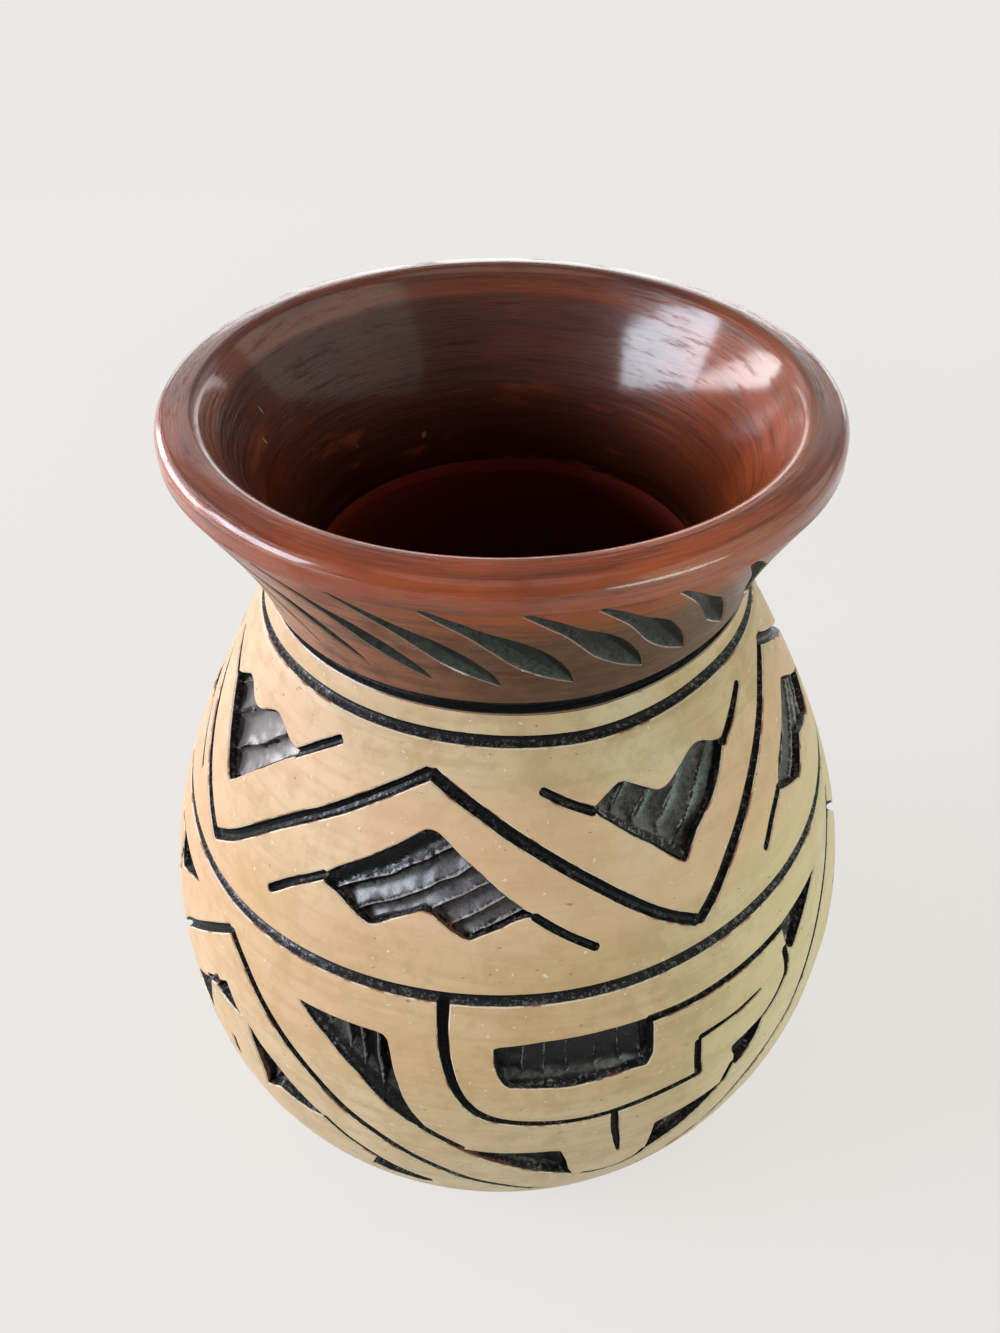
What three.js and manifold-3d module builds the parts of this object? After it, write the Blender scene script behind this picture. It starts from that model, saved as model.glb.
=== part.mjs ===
// Carved redware vase: a wide round body, a flaring neck and a rolled rim. The clay members were
// luted one on the other before firing, and the ring grooves run along their joints.
// Millimetres, +Z up, with the origin in the middle of the face that it stands on.

import * as THREE from 'three';
import { mergeVertices } from 'three/addons/utils/BufferGeometryUtils.js';
import Module from 'manifold-3d';

// Outline of the outside: heights are rises from one turning point to the next
const footRadius = 49.9;
const bellyRadius = 94.1;
const neckRadius = 57.2;
const rimRadius = 75;
const bellyRise = 78.3;
const shoulderRise = 101.7;
const neckRise = 39.5;
const lipRise = 6.7;

// Lean of the outline at its turning points, in degrees from upright
const footLean = 63.2;
const neckLean = 12;
const shoulderLean = 25;
const lipLean = 31;

// Pull of each curve's handles, as a share of the rise that the curve climbs
const footPull = 0.414;
const bellyPullBelow = 0.527;
const bellyPullAbove = 0.384;
const shoulderPull = 0.261;
const neckPull = 0.363;
const lipPull = 0.5;

// Clay thickness
const wall = 10.4;
const floorThickness = 12;
const rimWidth = 10.2;
const rimRound = 4.5;
const rimDrop = 2;

// Ring grooves cut with a loop tool, and the bead left between the upper two
const grooveWidth = 3;
const grooveDepth = 1.8;
const neckGrooveWidth = 3.5;
const beadHeight = 3.8;
const middleGrooveHeight = 123.5;

// Carved pockets: their depth, the level down to which the lower band reaches, and how far their
// cutters stand clear of the wall
const pocketDepth = 3;
const lowerBandFoot = 40;
const cutterReach = 9;

// Fineness of the faceted solids
const turns = 64;
const outlineSteps = 40;
const bodyStep = 9;
const neckStep = 6;
const crownSteps = 4;

const bellyHeight = bellyRise;
const neckFoot = bellyHeight + shoulderRise;
const lipHeight = neckFoot + neckRise;
const rimHeight = lipHeight + lipRise;
const beadFoot = neckFoot - beadHeight;

// Point at a length and a lean from a turning point, upwards or downwards along the outline
function pulled(point, lean, length, outward) {
  const angle = THREE.MathUtils.degToRad(lean);
  return new THREE.Vector2(
    point.x + outward * length * Math.sin(angle),
    point.y + length * Math.cos(angle),
  );
}

// The outside as three curves: foot to belly, belly to neck, neck to lip
function outsideCurves() {
  const foot = new THREE.Vector2(footRadius, 0);
  const belly = new THREE.Vector2(bellyRadius, bellyHeight);
  const neck = new THREE.Vector2(neckRadius, neckFoot);
  const lip = new THREE.Vector2(rimRadius, lipHeight);
  return [
    new THREE.CubicBezierCurve(
      foot,
      pulled(foot, footLean, footPull * bellyRise, 1),
      pulled(belly, 0, -bellyPullBelow * bellyRise, 1),
      belly,
    ),
    new THREE.CubicBezierCurve(
      belly,
      pulled(belly, 0, bellyPullAbove * shoulderRise, 1),
      pulled(neck, -shoulderLean, -shoulderPull * shoulderRise, 1),
      neck,
    ),
    new THREE.CubicBezierCurve(
      neck,
      pulled(neck, neckLean, neckPull * neckRise, 1),
      pulled(lip, lipLean, -lipPull * neckRise, 1),
      lip,
    ),
  ];
}

// The inside wall, at the wall's thickness in from the body's outside
function bodyInside(curves) {
  const points = [];
  for (const curve of curves.slice(0, 2)) {
    for (let step = 0; step <= outlineSteps; step += 1) {
      const share = step / outlineSteps;
      const point = curve.getPoint(share);
      const along = curve.getTangent(share);
      points.push(new THREE.Vector2(point.x - along.y * wall, point.y + along.x * wall));
    }
  }
  return points;
}

const [lowerCurve, shoulderCurve, neckCurve] = outsideCurves();
const outside = [lowerCurve, shoulderCurve, neckCurve].flatMap((curve) => curve.getPoints(outlineSteps));
const throat = new THREE.Vector2(neckRadius - wall, neckFoot);
const mouth = new THREE.Vector2(rimRadius - rimWidth, rimHeight - rimDrop);
const neckInside = new THREE.CubicBezierCurve(
  throat,
  pulled(throat, neckLean, neckPull * neckRise, 1),
  pulled(mouth, lipLean, -lipPull * neckRise, 1),
  mouth,
);
const inside = [...bodyInside([lowerCurve, shoulderCurve]), ...neckInside.getPoints(outlineSteps)];

// Radius of an outline at a height
function radiusAt(outline, height) {
  for (let index = 1; index < outline.length; index += 1) {
    const below = outline[index - 1];
    const above = outline[index];
    if (above.y >= height && above.y > below.y) {
      const share = Math.max(0, (height - below.y) / (above.y - below.y));
      return below.x + (above.x - below.x) * share;
    }
  }
  return outline[outline.length - 1].x;
}

// Heights from one level to another in even steps, both ends held
function levels(from, to, step) {
  const count = Math.max(1, Math.round(Math.abs(to - from) / step));
  return Array.from({ length: count + 1 }, (_, index) => from + ((to - from) * index) / count);
}

// Points of a wall between two heights; a depth sinks it below the outline
function wallPoints(outline, heights, depth = 0) {
  return heights.map((height) => new THREE.Vector2(radiusAt(outline, height) - depth, height));
}

function turned(profile) {
  const geometry = new THREE.LatheGeometry([...profile, profile[0].clone()], turns);
  geometry.rotateX(Math.PI / 2);
  return geometry;
}

const solid = (name, profile, colour, roughness, pockets = []) => {
  let geometry = turned(profile);
  if (pockets.length > 0) {
    geometry = geometryOf(pockets.reduce((shape, pocket) => shape.subtract(pocket), cuttable(geometry)));
  }
  const material = new THREE.MeshStandardMaterial({ color: colour, roughness, metalness: 0 });
  const mesh = new THREE.Mesh(geometry, material);
  mesh.name = name;
  return mesh;
};

const creamSlip = 0xc9ab7f;
const redSlip = 0x7a3a22;
const bareClay = 0x8e5238;

// Places of the carved motifs: degrees round from the front, stretch, and how far the hand let the
// edge of the band along the middle groove rise there
const risingSteps = [[-15.1, 1, -3.5], [72.8, 1, 3.7], [165.1, 1, 0.8], [257.5, 1, -1.1]];
const fallingSteps = [[31.3, 1, -0.7], [119, 1, 4.3], [211.3, 1, -0.3], [-60.9, 1, -4.3]];
const hangingFrets = [[12.3, 1, -2.5], [133.2, 0.959, 2], [251.4, 0.959, -1.1]];
const risingPeaks = [[-49.4, 1, -4.9], [74, 1, 3.9], [192.3, 0.959, 0]];

// Outlines of the pockets: degrees from the middle of the motif, and the share of the way from the
// band's far edge to the middle groove
const risingStep = [[-17.4, 0.67], [-7.8, 0.77], [0.8, 0.664], [9, 0.751], [19.5, 0.648], [1.1, 0.352]];
const fallingStep = [
  [-16.3, 0.3], [-9.6, 0.439], [0, 0.625], [8.7, 0.435], [15.7, 0.244], [8.2, 0.197], [-2.8, 0.296], [-10, 0.22],
];
const window = [[-14.7, 0.84], [-13, 0.704], [-3.8, 0.68], [8.4, 0.698], [9.6, 0.877]];
const blade = [[-46, 0.825], [-32.3, 0.585], [-22.7, 0.452], [-28, 0.648], [-30.9, 0.831]];
const corner = [[35.2, 0.91], [38.1, 0.778], [48.9, 0.937]];
const step = [[23.5, 0.595], [25.3, 0.462], [30.7, 0.621]];
const toe = [[10.5, 0.18], [23.6, 0.437], [10.7, 0.389]];
const heel = [[-18.5, 0.386], [-0.6, 0.138], [-3.9, 0.365]];
const peak = [[0, 0.669], [-3.6, 0.573], [4.5, 0.58]];
const flank = [[5.4, 0.578], [7.2, 0.242], [11, 0.313], [21.1, 0.319]];
const lowFlank = [[28.8, 0.176], [30.4, 0.033], [39.8, 0.033]];

const wasm = await Module();
wasm.setup();

// Closed geometry as a solid that can be cut
function cuttable(geometry) {
  const bare = geometry.clone();
  bare.deleteAttribute('normal');
  bare.deleteAttribute('uv');
  const merged = mergeVertices(bare);
  const corners = merged.index.array;
  const triangles = [];
  for (let index = 0; index < corners.length; index += 3) {
    const [a, b, c] = corners.slice(index, index + 3);
    if (a !== b && b !== c && c !== a) triangles.push(a, b, c);
  }
  return new wasm.Manifold(new wasm.Mesh({
    numProp: 3,
    vertProperties: new Float32Array(merged.attributes.position.array),
    triVerts: new Uint32Array(triangles),
  }));
}

function geometryOf(shape) {
  const { numProp, vertProperties, triVerts } = shape.getMesh();
  const positions = [];
  for (let index = 0; index < vertProperties.length; index += numProp) {
    positions.push(...vertProperties.slice(index, index + 3));
  }
  const geometry = new THREE.BufferGeometry();
  geometry.setAttribute('position', new THREE.Float32BufferAttribute(positions, 3));
  geometry.setIndex([...triVerts]);
  geometry.computeVertexNormals();
  return geometry;
}

// Place at a depth below the outside, or above it where the depth is negative
function placeOn(degrees, height, depth) {
  const slope = radiusAt(outside, height + 1) - radiusAt(outside, height);
  const tilt = Math.hypot(1, slope);
  const radius = radiusAt(outside, height) - depth / tilt;
  const angle = THREE.MathUtils.degToRad(degrees);
  return [radius * Math.sin(angle), -radius * Math.cos(angle), height + (depth * slope) / tilt];
}

// Prism through the wall with the outline of a pocket, given anticlockwise
function pocketPrism(outline) {
  const flat = outline.map(([degrees, height]) => new THREE.Vector2(degrees, height));
  const caps = THREE.ShapeUtils.triangulateShape(flat, []);
  const count = outline.length;
  const positions = [-cutterReach, 2 * pocketDepth].flatMap((depth) => (
    outline.flatMap(([degrees, height]) => placeOn(degrees, height, depth))
  ));
  const faces = [];
  for (const [a, b, c] of caps) faces.push(a, b, c, count + a, count + c, count + b);
  for (let index = 0; index < count; index += 1) {
    const next = (index + 1) % count;
    faces.push(count + index, count + next, next, count + index, next, index);
  }
  const geometry = new THREE.BufferGeometry();
  geometry.setAttribute('position', new THREE.Float32BufferAttribute(positions, 3));
  geometry.setIndex(faces);
  return cuttable(geometry);
}

// Pockets of one motif all round, cut down to the floor that the core leaves
function carvedPockets(core, places, outlines, bandFoot) {
  return places.flatMap(([middle, stretch, lift]) => outlines.map((outline) => {
    const rise = middleGrooveHeight + lift - bandFoot;
    return pocketPrism(outline.map(([degrees, share]) => [middle + degrees * stretch, bandFoot + share * rise]));
  })).map((prism) => prism.subtract(core));
}

const turnedOver = (outline) => outline.map(([degrees, share]) => [-degrees, share]).reverse();

const vase = new THREE.Group();

// Thrown disc that the vase stands on
function baseDisc() {
  const rim = wallPoints(outside, levels(0, floorThickness, neckStep));
  return solid(
    'base_disc',
    [new THREE.Vector2(0, 0), ...rim, new THREE.Vector2(0, floorThickness)],
    bareClay,
    0.8,
  );
}

// Solid whose outside is the floor of the pockets between two levels
function pocketCore(heights) {
  const sunk = heights.map((height) => {
    const [, y, z] = placeOn(0, height, pocketDepth);
    return new THREE.Vector2(-y, z);
  });
  const foot = new THREE.Vector2(0, sunk[0].y);
  return cuttable(turned([foot, ...sunk, new THREE.Vector2(0, sunk[sunk.length - 1].y)]));
}

// Lower half of the body, up to the middle of the ring groove round the shoulder
function lowerBowl() {
  const grooveFoot = middleGrooveHeight - grooveWidth / 2;
  const core = pocketCore([
    ...levels(floorThickness, bellyHeight, bodyStep),
    ...levels(bellyHeight, grooveFoot, bodyStep).slice(1),
  ]);
  const frets = [window, blade, corner, step, toe, heel];
  const peaks = [peak, flank, lowFlank, turnedOver(flank), turnedOver(lowFlank)];
  const pockets = [
    ...carvedPockets(core, hangingFrets, frets, lowerBandFoot),
    ...carvedPockets(core, risingPeaks, peaks, lowerBandFoot),
  ];
  const profile = [
    ...wallPoints(outside, levels(floorThickness, bellyHeight, bodyStep)),
    ...wallPoints(outside, levels(bellyHeight, grooveFoot, bodyStep).slice(1)),
    ...wallPoints(outside, [middleGrooveHeight - grooveWidth / 4, middleGrooveHeight], grooveDepth),
    ...wallPoints(inside, levels(middleGrooveHeight, floorThickness, bodyStep)),
  ];
  return solid('lower_bowl', profile, creamSlip, 0.5, pockets);
}

// Upper half of the body, with half of the middle groove and the whole groove under the bead
function shoulder() {
  const upperGrooveFoot = beadFoot - grooveWidth;
  const core = pocketCore(levels(middleGrooveHeight + grooveWidth / 2, upperGrooveFoot, bodyStep));
  const pockets = [
    ...carvedPockets(core, risingSteps, [risingStep], beadFoot),
    ...carvedPockets(core, fallingSteps, [fallingStep], beadFoot),
  ];
  const profile = [
    ...wallPoints(outside, [middleGrooveHeight, middleGrooveHeight + grooveWidth / 4], grooveDepth),
    ...wallPoints(outside, levels(middleGrooveHeight + grooveWidth / 2, upperGrooveFoot, bodyStep)),
    ...wallPoints(outside, [upperGrooveFoot + grooveWidth / 4, beadFoot], grooveDepth),
    ...wallPoints(inside, levels(beadFoot, middleGrooveHeight, bodyStep)),
  ];
  return solid('shoulder', profile, creamSlip, 0.5, pockets);
}

// Coil of clay that bonds the neck to the shoulder and shows as a bead
function collarCoil() {
  const profile = [
    ...wallPoints(outside, [beadFoot, beadFoot + beadHeight / 2, neckFoot]),
    ...wallPoints(inside, [neckFoot, beadFoot]),
  ];
  return solid('collar_coil', profile, creamSlip, 0.5);
}

// Flaring neck, with the ring groove at its foot
function neck() {
  const grooveTop = neckFoot + neckGrooveWidth;
  const profile = [
    ...wallPoints(outside, [neckFoot, grooveTop - neckGrooveWidth / 4], grooveDepth),
    ...wallPoints(outside, levels(grooveTop, lipHeight, neckStep)),
    ...wallPoints(inside, levels(lipHeight, neckFoot, neckStep)),
  ];
  return solid('neck', profile, redSlip, 0.35);
}

// Quarter round about a centre, from one angle to another in degrees
function quarterRound(centre, across, up, from, to) {
  return levels(from, to, Math.abs(to - from) / crownSteps).map((degrees) => {
    const angle = THREE.MathUtils.degToRad(degrees);
    return new THREE.Vector2(centre.x + across * Math.cos(angle), centre.y + up * Math.sin(angle));
  });
}

// Rolled rim: a quarter round up to the crown and a flatter one down to the mouth
function rimCoil() {
  const crown = rimRadius - rimRound;
  const outerCentre = new THREE.Vector2(crown, lipHeight);
  const innerCentre = new THREE.Vector2(crown, mouth.y);
  const profile = [
    ...quarterRound(outerCentre, rimRound, lipRise, 0, 90),
    ...quarterRound(innerCentre, crown - mouth.x, rimDrop, 90, 180).slice(1),
    ...wallPoints(inside, [lipHeight]),
  ];
  return solid('rim_coil', profile, redSlip, 0.3);
}

vase.add(baseDisc(), lowerBowl(), shoulder(), collarCoil(), neck(), rimCoil());

export default vase;
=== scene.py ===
# Carved redware vase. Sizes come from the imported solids; the carving and the finishes are made here.
import math
import bmesh
import bpy
import numpy as np
from mathutils import Matrix, Vector, noise
from mathutils.geometry import interpolate_bezier


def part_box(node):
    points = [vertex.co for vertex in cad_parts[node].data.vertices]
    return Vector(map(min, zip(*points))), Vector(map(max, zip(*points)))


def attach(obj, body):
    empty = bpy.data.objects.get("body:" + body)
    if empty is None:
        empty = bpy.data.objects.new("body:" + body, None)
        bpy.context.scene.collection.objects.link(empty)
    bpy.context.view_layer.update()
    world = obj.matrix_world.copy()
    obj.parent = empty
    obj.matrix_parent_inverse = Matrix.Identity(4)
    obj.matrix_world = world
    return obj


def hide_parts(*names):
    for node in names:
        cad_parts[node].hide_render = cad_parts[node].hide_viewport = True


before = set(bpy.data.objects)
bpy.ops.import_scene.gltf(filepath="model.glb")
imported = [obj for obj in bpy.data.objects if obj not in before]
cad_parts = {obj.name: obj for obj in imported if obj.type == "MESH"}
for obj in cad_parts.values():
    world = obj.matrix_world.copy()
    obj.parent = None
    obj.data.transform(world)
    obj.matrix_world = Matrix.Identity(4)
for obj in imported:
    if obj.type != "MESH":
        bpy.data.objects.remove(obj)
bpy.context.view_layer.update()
mm = 0.001
scene = bpy.context.scene
scratch = bpy.data.collections.new("cutters")  # never linked to the scene


def nodeLevels(node):
    low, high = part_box(node)
    return low.z / mm, high.z / mm


# Outline of the pot

outline = {
    "footRadius": 49.9,
    "bellyRadius": 94.1,
    "bellyHeight": 78.3,
    "neckRadius": 57.2,
    "rimRadius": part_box("rim_coil")[1].x / mm,
    "footLean": 63.2,  # degrees from upright
    "shoulderLean": 25,
    "neckLean": 12,
    "lipLean": 31,
    "footPull": 0.414,  # shares of the rise that a curve climbs
    "bellyPullBelow": 0.527,
    "bellyPullAbove": 0.384,
    "shoulderPull": 0.261,
    "neckPull": 0.363,
    "lipPull": 0.5,
    "wall": 10.4,
    "rimWidth": 10.2,
    "rimDrop": 2,
    "points": 80,  # in each curve
}
floorTop = nodeLevels("base_disc")[1]
middleRing, beadFoot = nodeLevels("shoulder")
neckFoot, lipHeight = nodeLevels("neck")
rimTop = nodeLevels("rim_coil")[1]
mouthRadius = outline["rimRadius"] - outline["rimWidth"]
mouthHeight = rimTop - outline["rimDrop"]


def leaning(degrees):
    return Vector((math.sin(math.radians(degrees)), math.cos(math.radians(degrees))))


def risingCurve(start, end, startLean, endLean, startPull, endPull):
    # Points of a curve that climbs from one (radius, height) to another
    rise = end[1] - start[1]
    leave, arrive = leaning(startLean) * startPull * rise, leaning(endLean) * endPull * rise
    start, end = Vector(start), Vector(end)
    curve = interpolate_bezier(start, start + leave, end - arrive, end, outline["points"])
    return [tuple(point) for point in curve]


def joined(*curves):
    # One curve from several that share their end points
    points = list(curves[0])
    for curve in curves[1:]:
        points += curve[1:]
    return np.array(points)


def lowerAndShoulder():
    foot = (outline["footRadius"], 0)
    belly = (outline["bellyRadius"], outline["bellyHeight"])
    top = (outline["neckRadius"], neckFoot)
    lower = risingCurve(foot, belly, outline["footLean"], 0, outline["footPull"], outline["bellyPullBelow"])
    upper = risingCurve(
        belly, top, 0, -outline["shoulderLean"], outline["bellyPullAbove"], outline["shoulderPull"]
    )
    return lower, upper


def neckCurve(low, high):
    leans, pulls = (outline["neckLean"], outline["lipLean"]), (outline["neckPull"], outline["lipPull"])
    return risingCurve(low, high, *leans, *pulls)


bodyCurve = joined(*lowerAndShoulder())
outerNeck = neckCurve((outline["neckRadius"], neckFoot), (outline["rimRadius"], lipHeight))
outside = joined(bodyCurve.tolist(), outerNeck)
outSlope = np.gradient(outside[:, 0], outside[:, 1])
outArc = np.concatenate([[0], np.cumsum(np.hypot(*np.diff(outside, axis=0).T))])
bodySlope = np.gradient(bodyCurve[:, 0], bodyCurve[:, 1])
bodyTilt = np.sqrt(1 + bodySlope**2)
bodyInside = bodyCurve + outline["wall"] * np.column_stack([-1 / bodyTilt, bodySlope / bodyTilt])
throat = (outline["neckRadius"] - outline["wall"], neckFoot)
inside = np.concatenate([bodyInside, np.array(neckCurve(throat, (mouthRadius, mouthHeight)))])
# Only points above all those before them stay, so that each height has one radius
inside = inside[np.concatenate([[True], np.diff(np.maximum.accumulate(inside[:, 1])) > 0])]


def outRadius(height):
    return float(np.interp(height, outside[:, 1], outside[:, 0]))


def inRadius(height):
    return float(np.interp(height, inside[:, 1], inside[:, 0]))


def potPoint(angle, height, depth=0.0):
    # A place on the outside in metres: degrees round from the front, height and depth in mm
    slope = float(np.interp(height, outside[:, 1], outSlope))
    tilt = math.hypot(1, slope)
    radius = outRadius(height) - depth / tilt
    turn = math.radians(angle)
    return Vector((radius * math.sin(turn), -radius * math.cos(turn), height + depth * slope / tilt)) * mm


# Rings cut round the vase by eye: the height of the middle one, and how far the ones beside the bead are
# lifted, by degrees round from the front

ringLine = [
    (-79, 121.9), (-65, 119.8), (-52, 118.6), (-40, 118.7), (-27, 119.3), (-10, 120.1), (10, 120.9),
    (22, 121.8), (35, 123.2), (47, 124.3), (60, 125.5), (70, 126.8), (79, 128.4), (90, 129), (110, 128),
    (135, 125.5), (165, 124.2), (200, 123.3), (240, 122.4), (265, 122),
]
collarLine = [(-60, 0), (-10, 0), (18, -0.4), (33, 0.5), (48, 1.4), (70, 1.5), (110, 0.8), (160, 0)]
ringReach = {
    "smoothing": 23,  # degrees
    "middleFlat": 3,  # how far from a ring its shift is whole, and over what height it then fades
    "middleFade": 17,
    "collarHeight": 178,
    "collarFlat": 7,
    "collarFade": 13,
    "motifFoot": 40,  # the heights between which a copied motif follows the middle ring
    "motifRise": 78,
    "motifTop": 180,
    "motifFall": 56,
}


def roundLine(points):
    # A level for each degree of the circle, smoothed
    angles, heights = zip(*points)
    level = np.interp(np.arange(-180, 540), angles, heights, period=360)
    weights = np.hanning(ringReach["smoothing"])
    return np.convolve(level, weights / weights.sum(), "same")[180:540]


ringLevels, collarLevels = roundLine(ringLine), roundLine(collarLine)


def aroundAt(values, angle):
    return np.interp(np.mod(angle, 360), np.arange(361), np.append(values, values[0]))


def fade(share):
    share = np.clip(share, 0, 1)
    return 1 - share * share * (3 - 2 * share)


def ringShift(angle, height):
    # How far the rings' wandering lifts a place near them
    middle = (aroundAt(ringLevels, angle) - middleRing) * fade(
        (abs(height - middleRing) - ringReach["middleFlat"]) / ringReach["middleFade"]
    )
    collar = aroundAt(collarLevels, angle) * fade(
        (abs(height - ringReach["collarHeight"]) - ringReach["collarFlat"]) / ringReach["collarFade"]
    )
    return middle + collar


# Members, spun round the axis

member = {
    "turns": 360,
    "step": 1.8,
    "insideStep": 3.0,
    "beadStep": 0.95,
    "rimStep": 1.2,
    "sharp": 32,  # degrees between faces, past which an edge stays sharp
    "touch": 0.01,  # nearer than this counts as level
}
ringGroove = {
    "width": 3.5,
    "depth": 1.8,
    "collarWidth": 3.0,
    "neckWidth": 4.3,
    "neckDepth": 2.6,
    "section": [  # shares of the width and of the depth
        (0, 0), (0.09, 0.16), (0.13, 0.5), (0.26, 0.88), (0.5, 1),
        (0.74, 0.88), (0.87, 0.5), (0.91, 0.16), (1, 0),
    ],
}


def levels(start, end, step):
    count = max(1, round(abs(end - start) / step))
    return [start + (end - start) * index / count for index in range(count + 1)]


def outer(heights):
    return [(outRadius(height), height) for height in heights]


def inner(heights):
    return [(inRadius(height), height) for height in heights]


def grooveSection(foot, top, depth):
    # Section of a ring groove, cut with the same loop tool as the rest
    heights = [foot + (top - foot) * place for place, sunk in ringGroove["section"]]
    depths = [depth * sunk for place, sunk in ringGroove["section"]]
    return [(outRadius(height) - deep, height) for height, deep in zip(heights, depths)]


def spinMember(name, section):
    shape = bmesh.new()
    corners = [shape.verts.new((0, -radius * mm, height * mm)) for radius, height in section]
    edges = [shape.edges.new(pair) for pair in zip(corners, corners[1:])]
    if section[0][0] > 0:
        edges.append(shape.edges.new((corners[-1], corners[0])))
    bmesh.ops.spin(
        shape,
        geom=corners + edges,
        cent=(0, 0, 0),
        axis=(0, 0, 1),
        angle=2 * math.pi,
        steps=member["turns"],
        use_merge=True,
    )
    bmesh.ops.remove_doubles(shape, verts=shape.verts, dist=1e-7)
    bmesh.ops.recalc_face_normals(shape, faces=shape.faces)
    piece = finishedMesh(name, shape, scene.collection)
    wander(piece)
    return piece


def finishedMesh(name, shape, collection):
    mesh = bpy.data.meshes.new(name)
    shape.to_mesh(mesh)
    shape.free()
    piece = bpy.data.objects.new(name, mesh)
    collection.objects.link(piece)
    return piece


def meshPlaces(mesh):
    # Every point in mm, with its radius, angle and whether it lies on the inside
    places = np.zeros(len(mesh.vertices) * 3)
    mesh.vertices.foreach_get("co", places)
    places = places.reshape(-1, 3) / mm
    radius = np.hypot(places[:, 0], places[:, 1])
    angle = np.degrees(np.arctan2(places[:, 0], -places[:, 1]))
    outerAt = np.interp(places[:, 2], outside[:, 1], outside[:, 0])
    innerAt = np.interp(places[:, 2], inside[:, 1], inside[:, 0])
    level = (places[:, 2] < lipHeight + member["touch"]) & (places[:, 2] > member["touch"])
    within = (radius < (outerAt + innerAt) / 2) & level
    return places, radius, angle, outerAt, within.astype(float)


def wander(piece):
    # Lets the ring grooves climb and fall as the hand cut them
    places, radius, angle, outerAt, within = meshPlaces(piece.data)
    moved = places[:, 2] + ringShift(angle, places[:, 2]) * (1 - within)
    radius = radius + (np.interp(moved, outside[:, 1], outside[:, 0]) - outerAt) * (1 - within)
    turn = np.radians(angle)
    places = np.column_stack([radius * np.sin(turn), -radius * np.cos(turn), moved])
    piece.data.vertices.foreach_set("co", (places * mm).ravel())
    piece.data.update()


def baseDisc():
    heights = levels(0, floorTop, member["step"])
    return spinMember("baseDisc", [(0, 0)] + outer(heights) + [(0, floorTop)])


def lowerBowl():
    half = ringGroove["width"] / 2
    groove = grooveSection(middleRing - half, middleRing + half, ringGroove["depth"])
    section = outer(levels(floorTop, middleRing - half, member["step"]))[:-1] + groove[:5]
    return spinMember("lowerBowl", section + inner(levels(middleRing, floorTop, member["insideStep"])))


def shoulderWall():
    half = ringGroove["width"] / 2
    groove = grooveSection(middleRing - half, middleRing + half, ringGroove["depth"])
    upperFoot = beadFoot - ringGroove["collarWidth"]
    upperGroove = grooveSection(upperFoot, beadFoot, ringGroove["depth"])
    section = groove[4:-1] + outer(levels(middleRing + half, upperFoot, member["step"]))[:-1] + upperGroove
    return spinMember("shoulderWall", section + inner(levels(beadFoot, middleRing, member["insideStep"])))


def collarCoil():
    bead = outer(levels(beadFoot, neckFoot, member["beadStep"]))
    return spinMember("collarCoil", bead + inner([neckFoot, beadFoot]))


def neckWall():
    grooveTop = neckFoot + ringGroove["neckWidth"]
    groove = grooveSection(neckFoot, grooveTop, ringGroove["neckDepth"])
    section = groove[:-1] + outer(levels(grooveTop, lipHeight, member["step"]))
    return spinMember("neckWall", section + inner(levels(lipHeight, neckFoot, member["insideStep"])))


lipShape = {
    "edge": 3.2,
    "edgeRise": 4.0,
    "flatDrop": 0.5,
    "innerEdge": 3.4,
    "outerTurn": 10,  # degrees from point to point round each edge
    "innerTurn": 8,
    "flatShare": 0.2,
}


def rimCoil():
    # A flat lip with a small round at each edge
    flatDrop, edge, bend = lipShape["flatDrop"], lipShape["edge"], lipShape["innerEdge"]
    outerEdge, lean = outline["rimRadius"] - edge, math.radians(outline["lipLean"])
    innerEdge = mouthRadius + (bend + (outline["rimDrop"] - bend) * math.sin(lean)) / math.cos(lean)
    side = levels(lipHeight, rimTop - lipShape["edgeRise"], member["rimStep"])
    section = [(outline["rimRadius"], height) for height in side]
    for angle in levels(lipShape["outerTurn"], 90, lipShape["outerTurn"]):
        turn = math.radians(angle)
        top = rimTop - flatDrop - (lipShape["edgeRise"] - flatDrop) * (1 - math.sin(turn))
        section.append((outerEdge + edge * math.cos(turn), top))
    for share in levels(lipShape["flatShare"], 1, lipShape["flatShare"]):
        dome = flatDrop * math.sin(math.pi / 2 * share)
        section.append((outerEdge + (innerEdge - outerEdge) * share, rimTop - flatDrop + dome))
    for angle in levels(100, 180 - outline["lipLean"], lipShape["innerTurn"]):
        turn = math.radians(angle)
        section.append((innerEdge + bend * math.cos(turn), rimTop - bend + bend * math.sin(turn)))
    return spinMember("rimCoil", section + inner(levels(mouthHeight, lipHeight, member["rimStep"]))[1:])


# Cutting tools: strokes of a loop tool, and pockets with scooped floors

loopSection = [
    (-0.64, 0.9), (-0.64, 0), (-0.5, -0.16), (-0.44, -0.5), (-0.28, -0.86), (0, -1),
    (0.28, -0.86), (0.44, -0.5), (0.5, -0.16), (0.64, 0), (0.64, 0.9),
]
leafSection = [
    (-0.6, 0.9), (-0.6, 0), (-0.5, -0.22), (-0.3, -0.66), (-0.06, -0.97), (0, -1),
    (0.06, -0.97), (0.34, -0.75), (0.5, -0.3), (0.6, 0), (0.6, 0.9),
]
toolHand = {
    "step": 1.3,
    "slowShake": (160, 0.06),  # scale and size of the hand's shaking, as a share of the width
    "quickShake": (600, 0.03),
    "depthShake": 1.5,
    "tipReach": 0.3,  # shares of the width and depth where the tool lifts out
    "tipDepth": 0.6,
}


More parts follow.
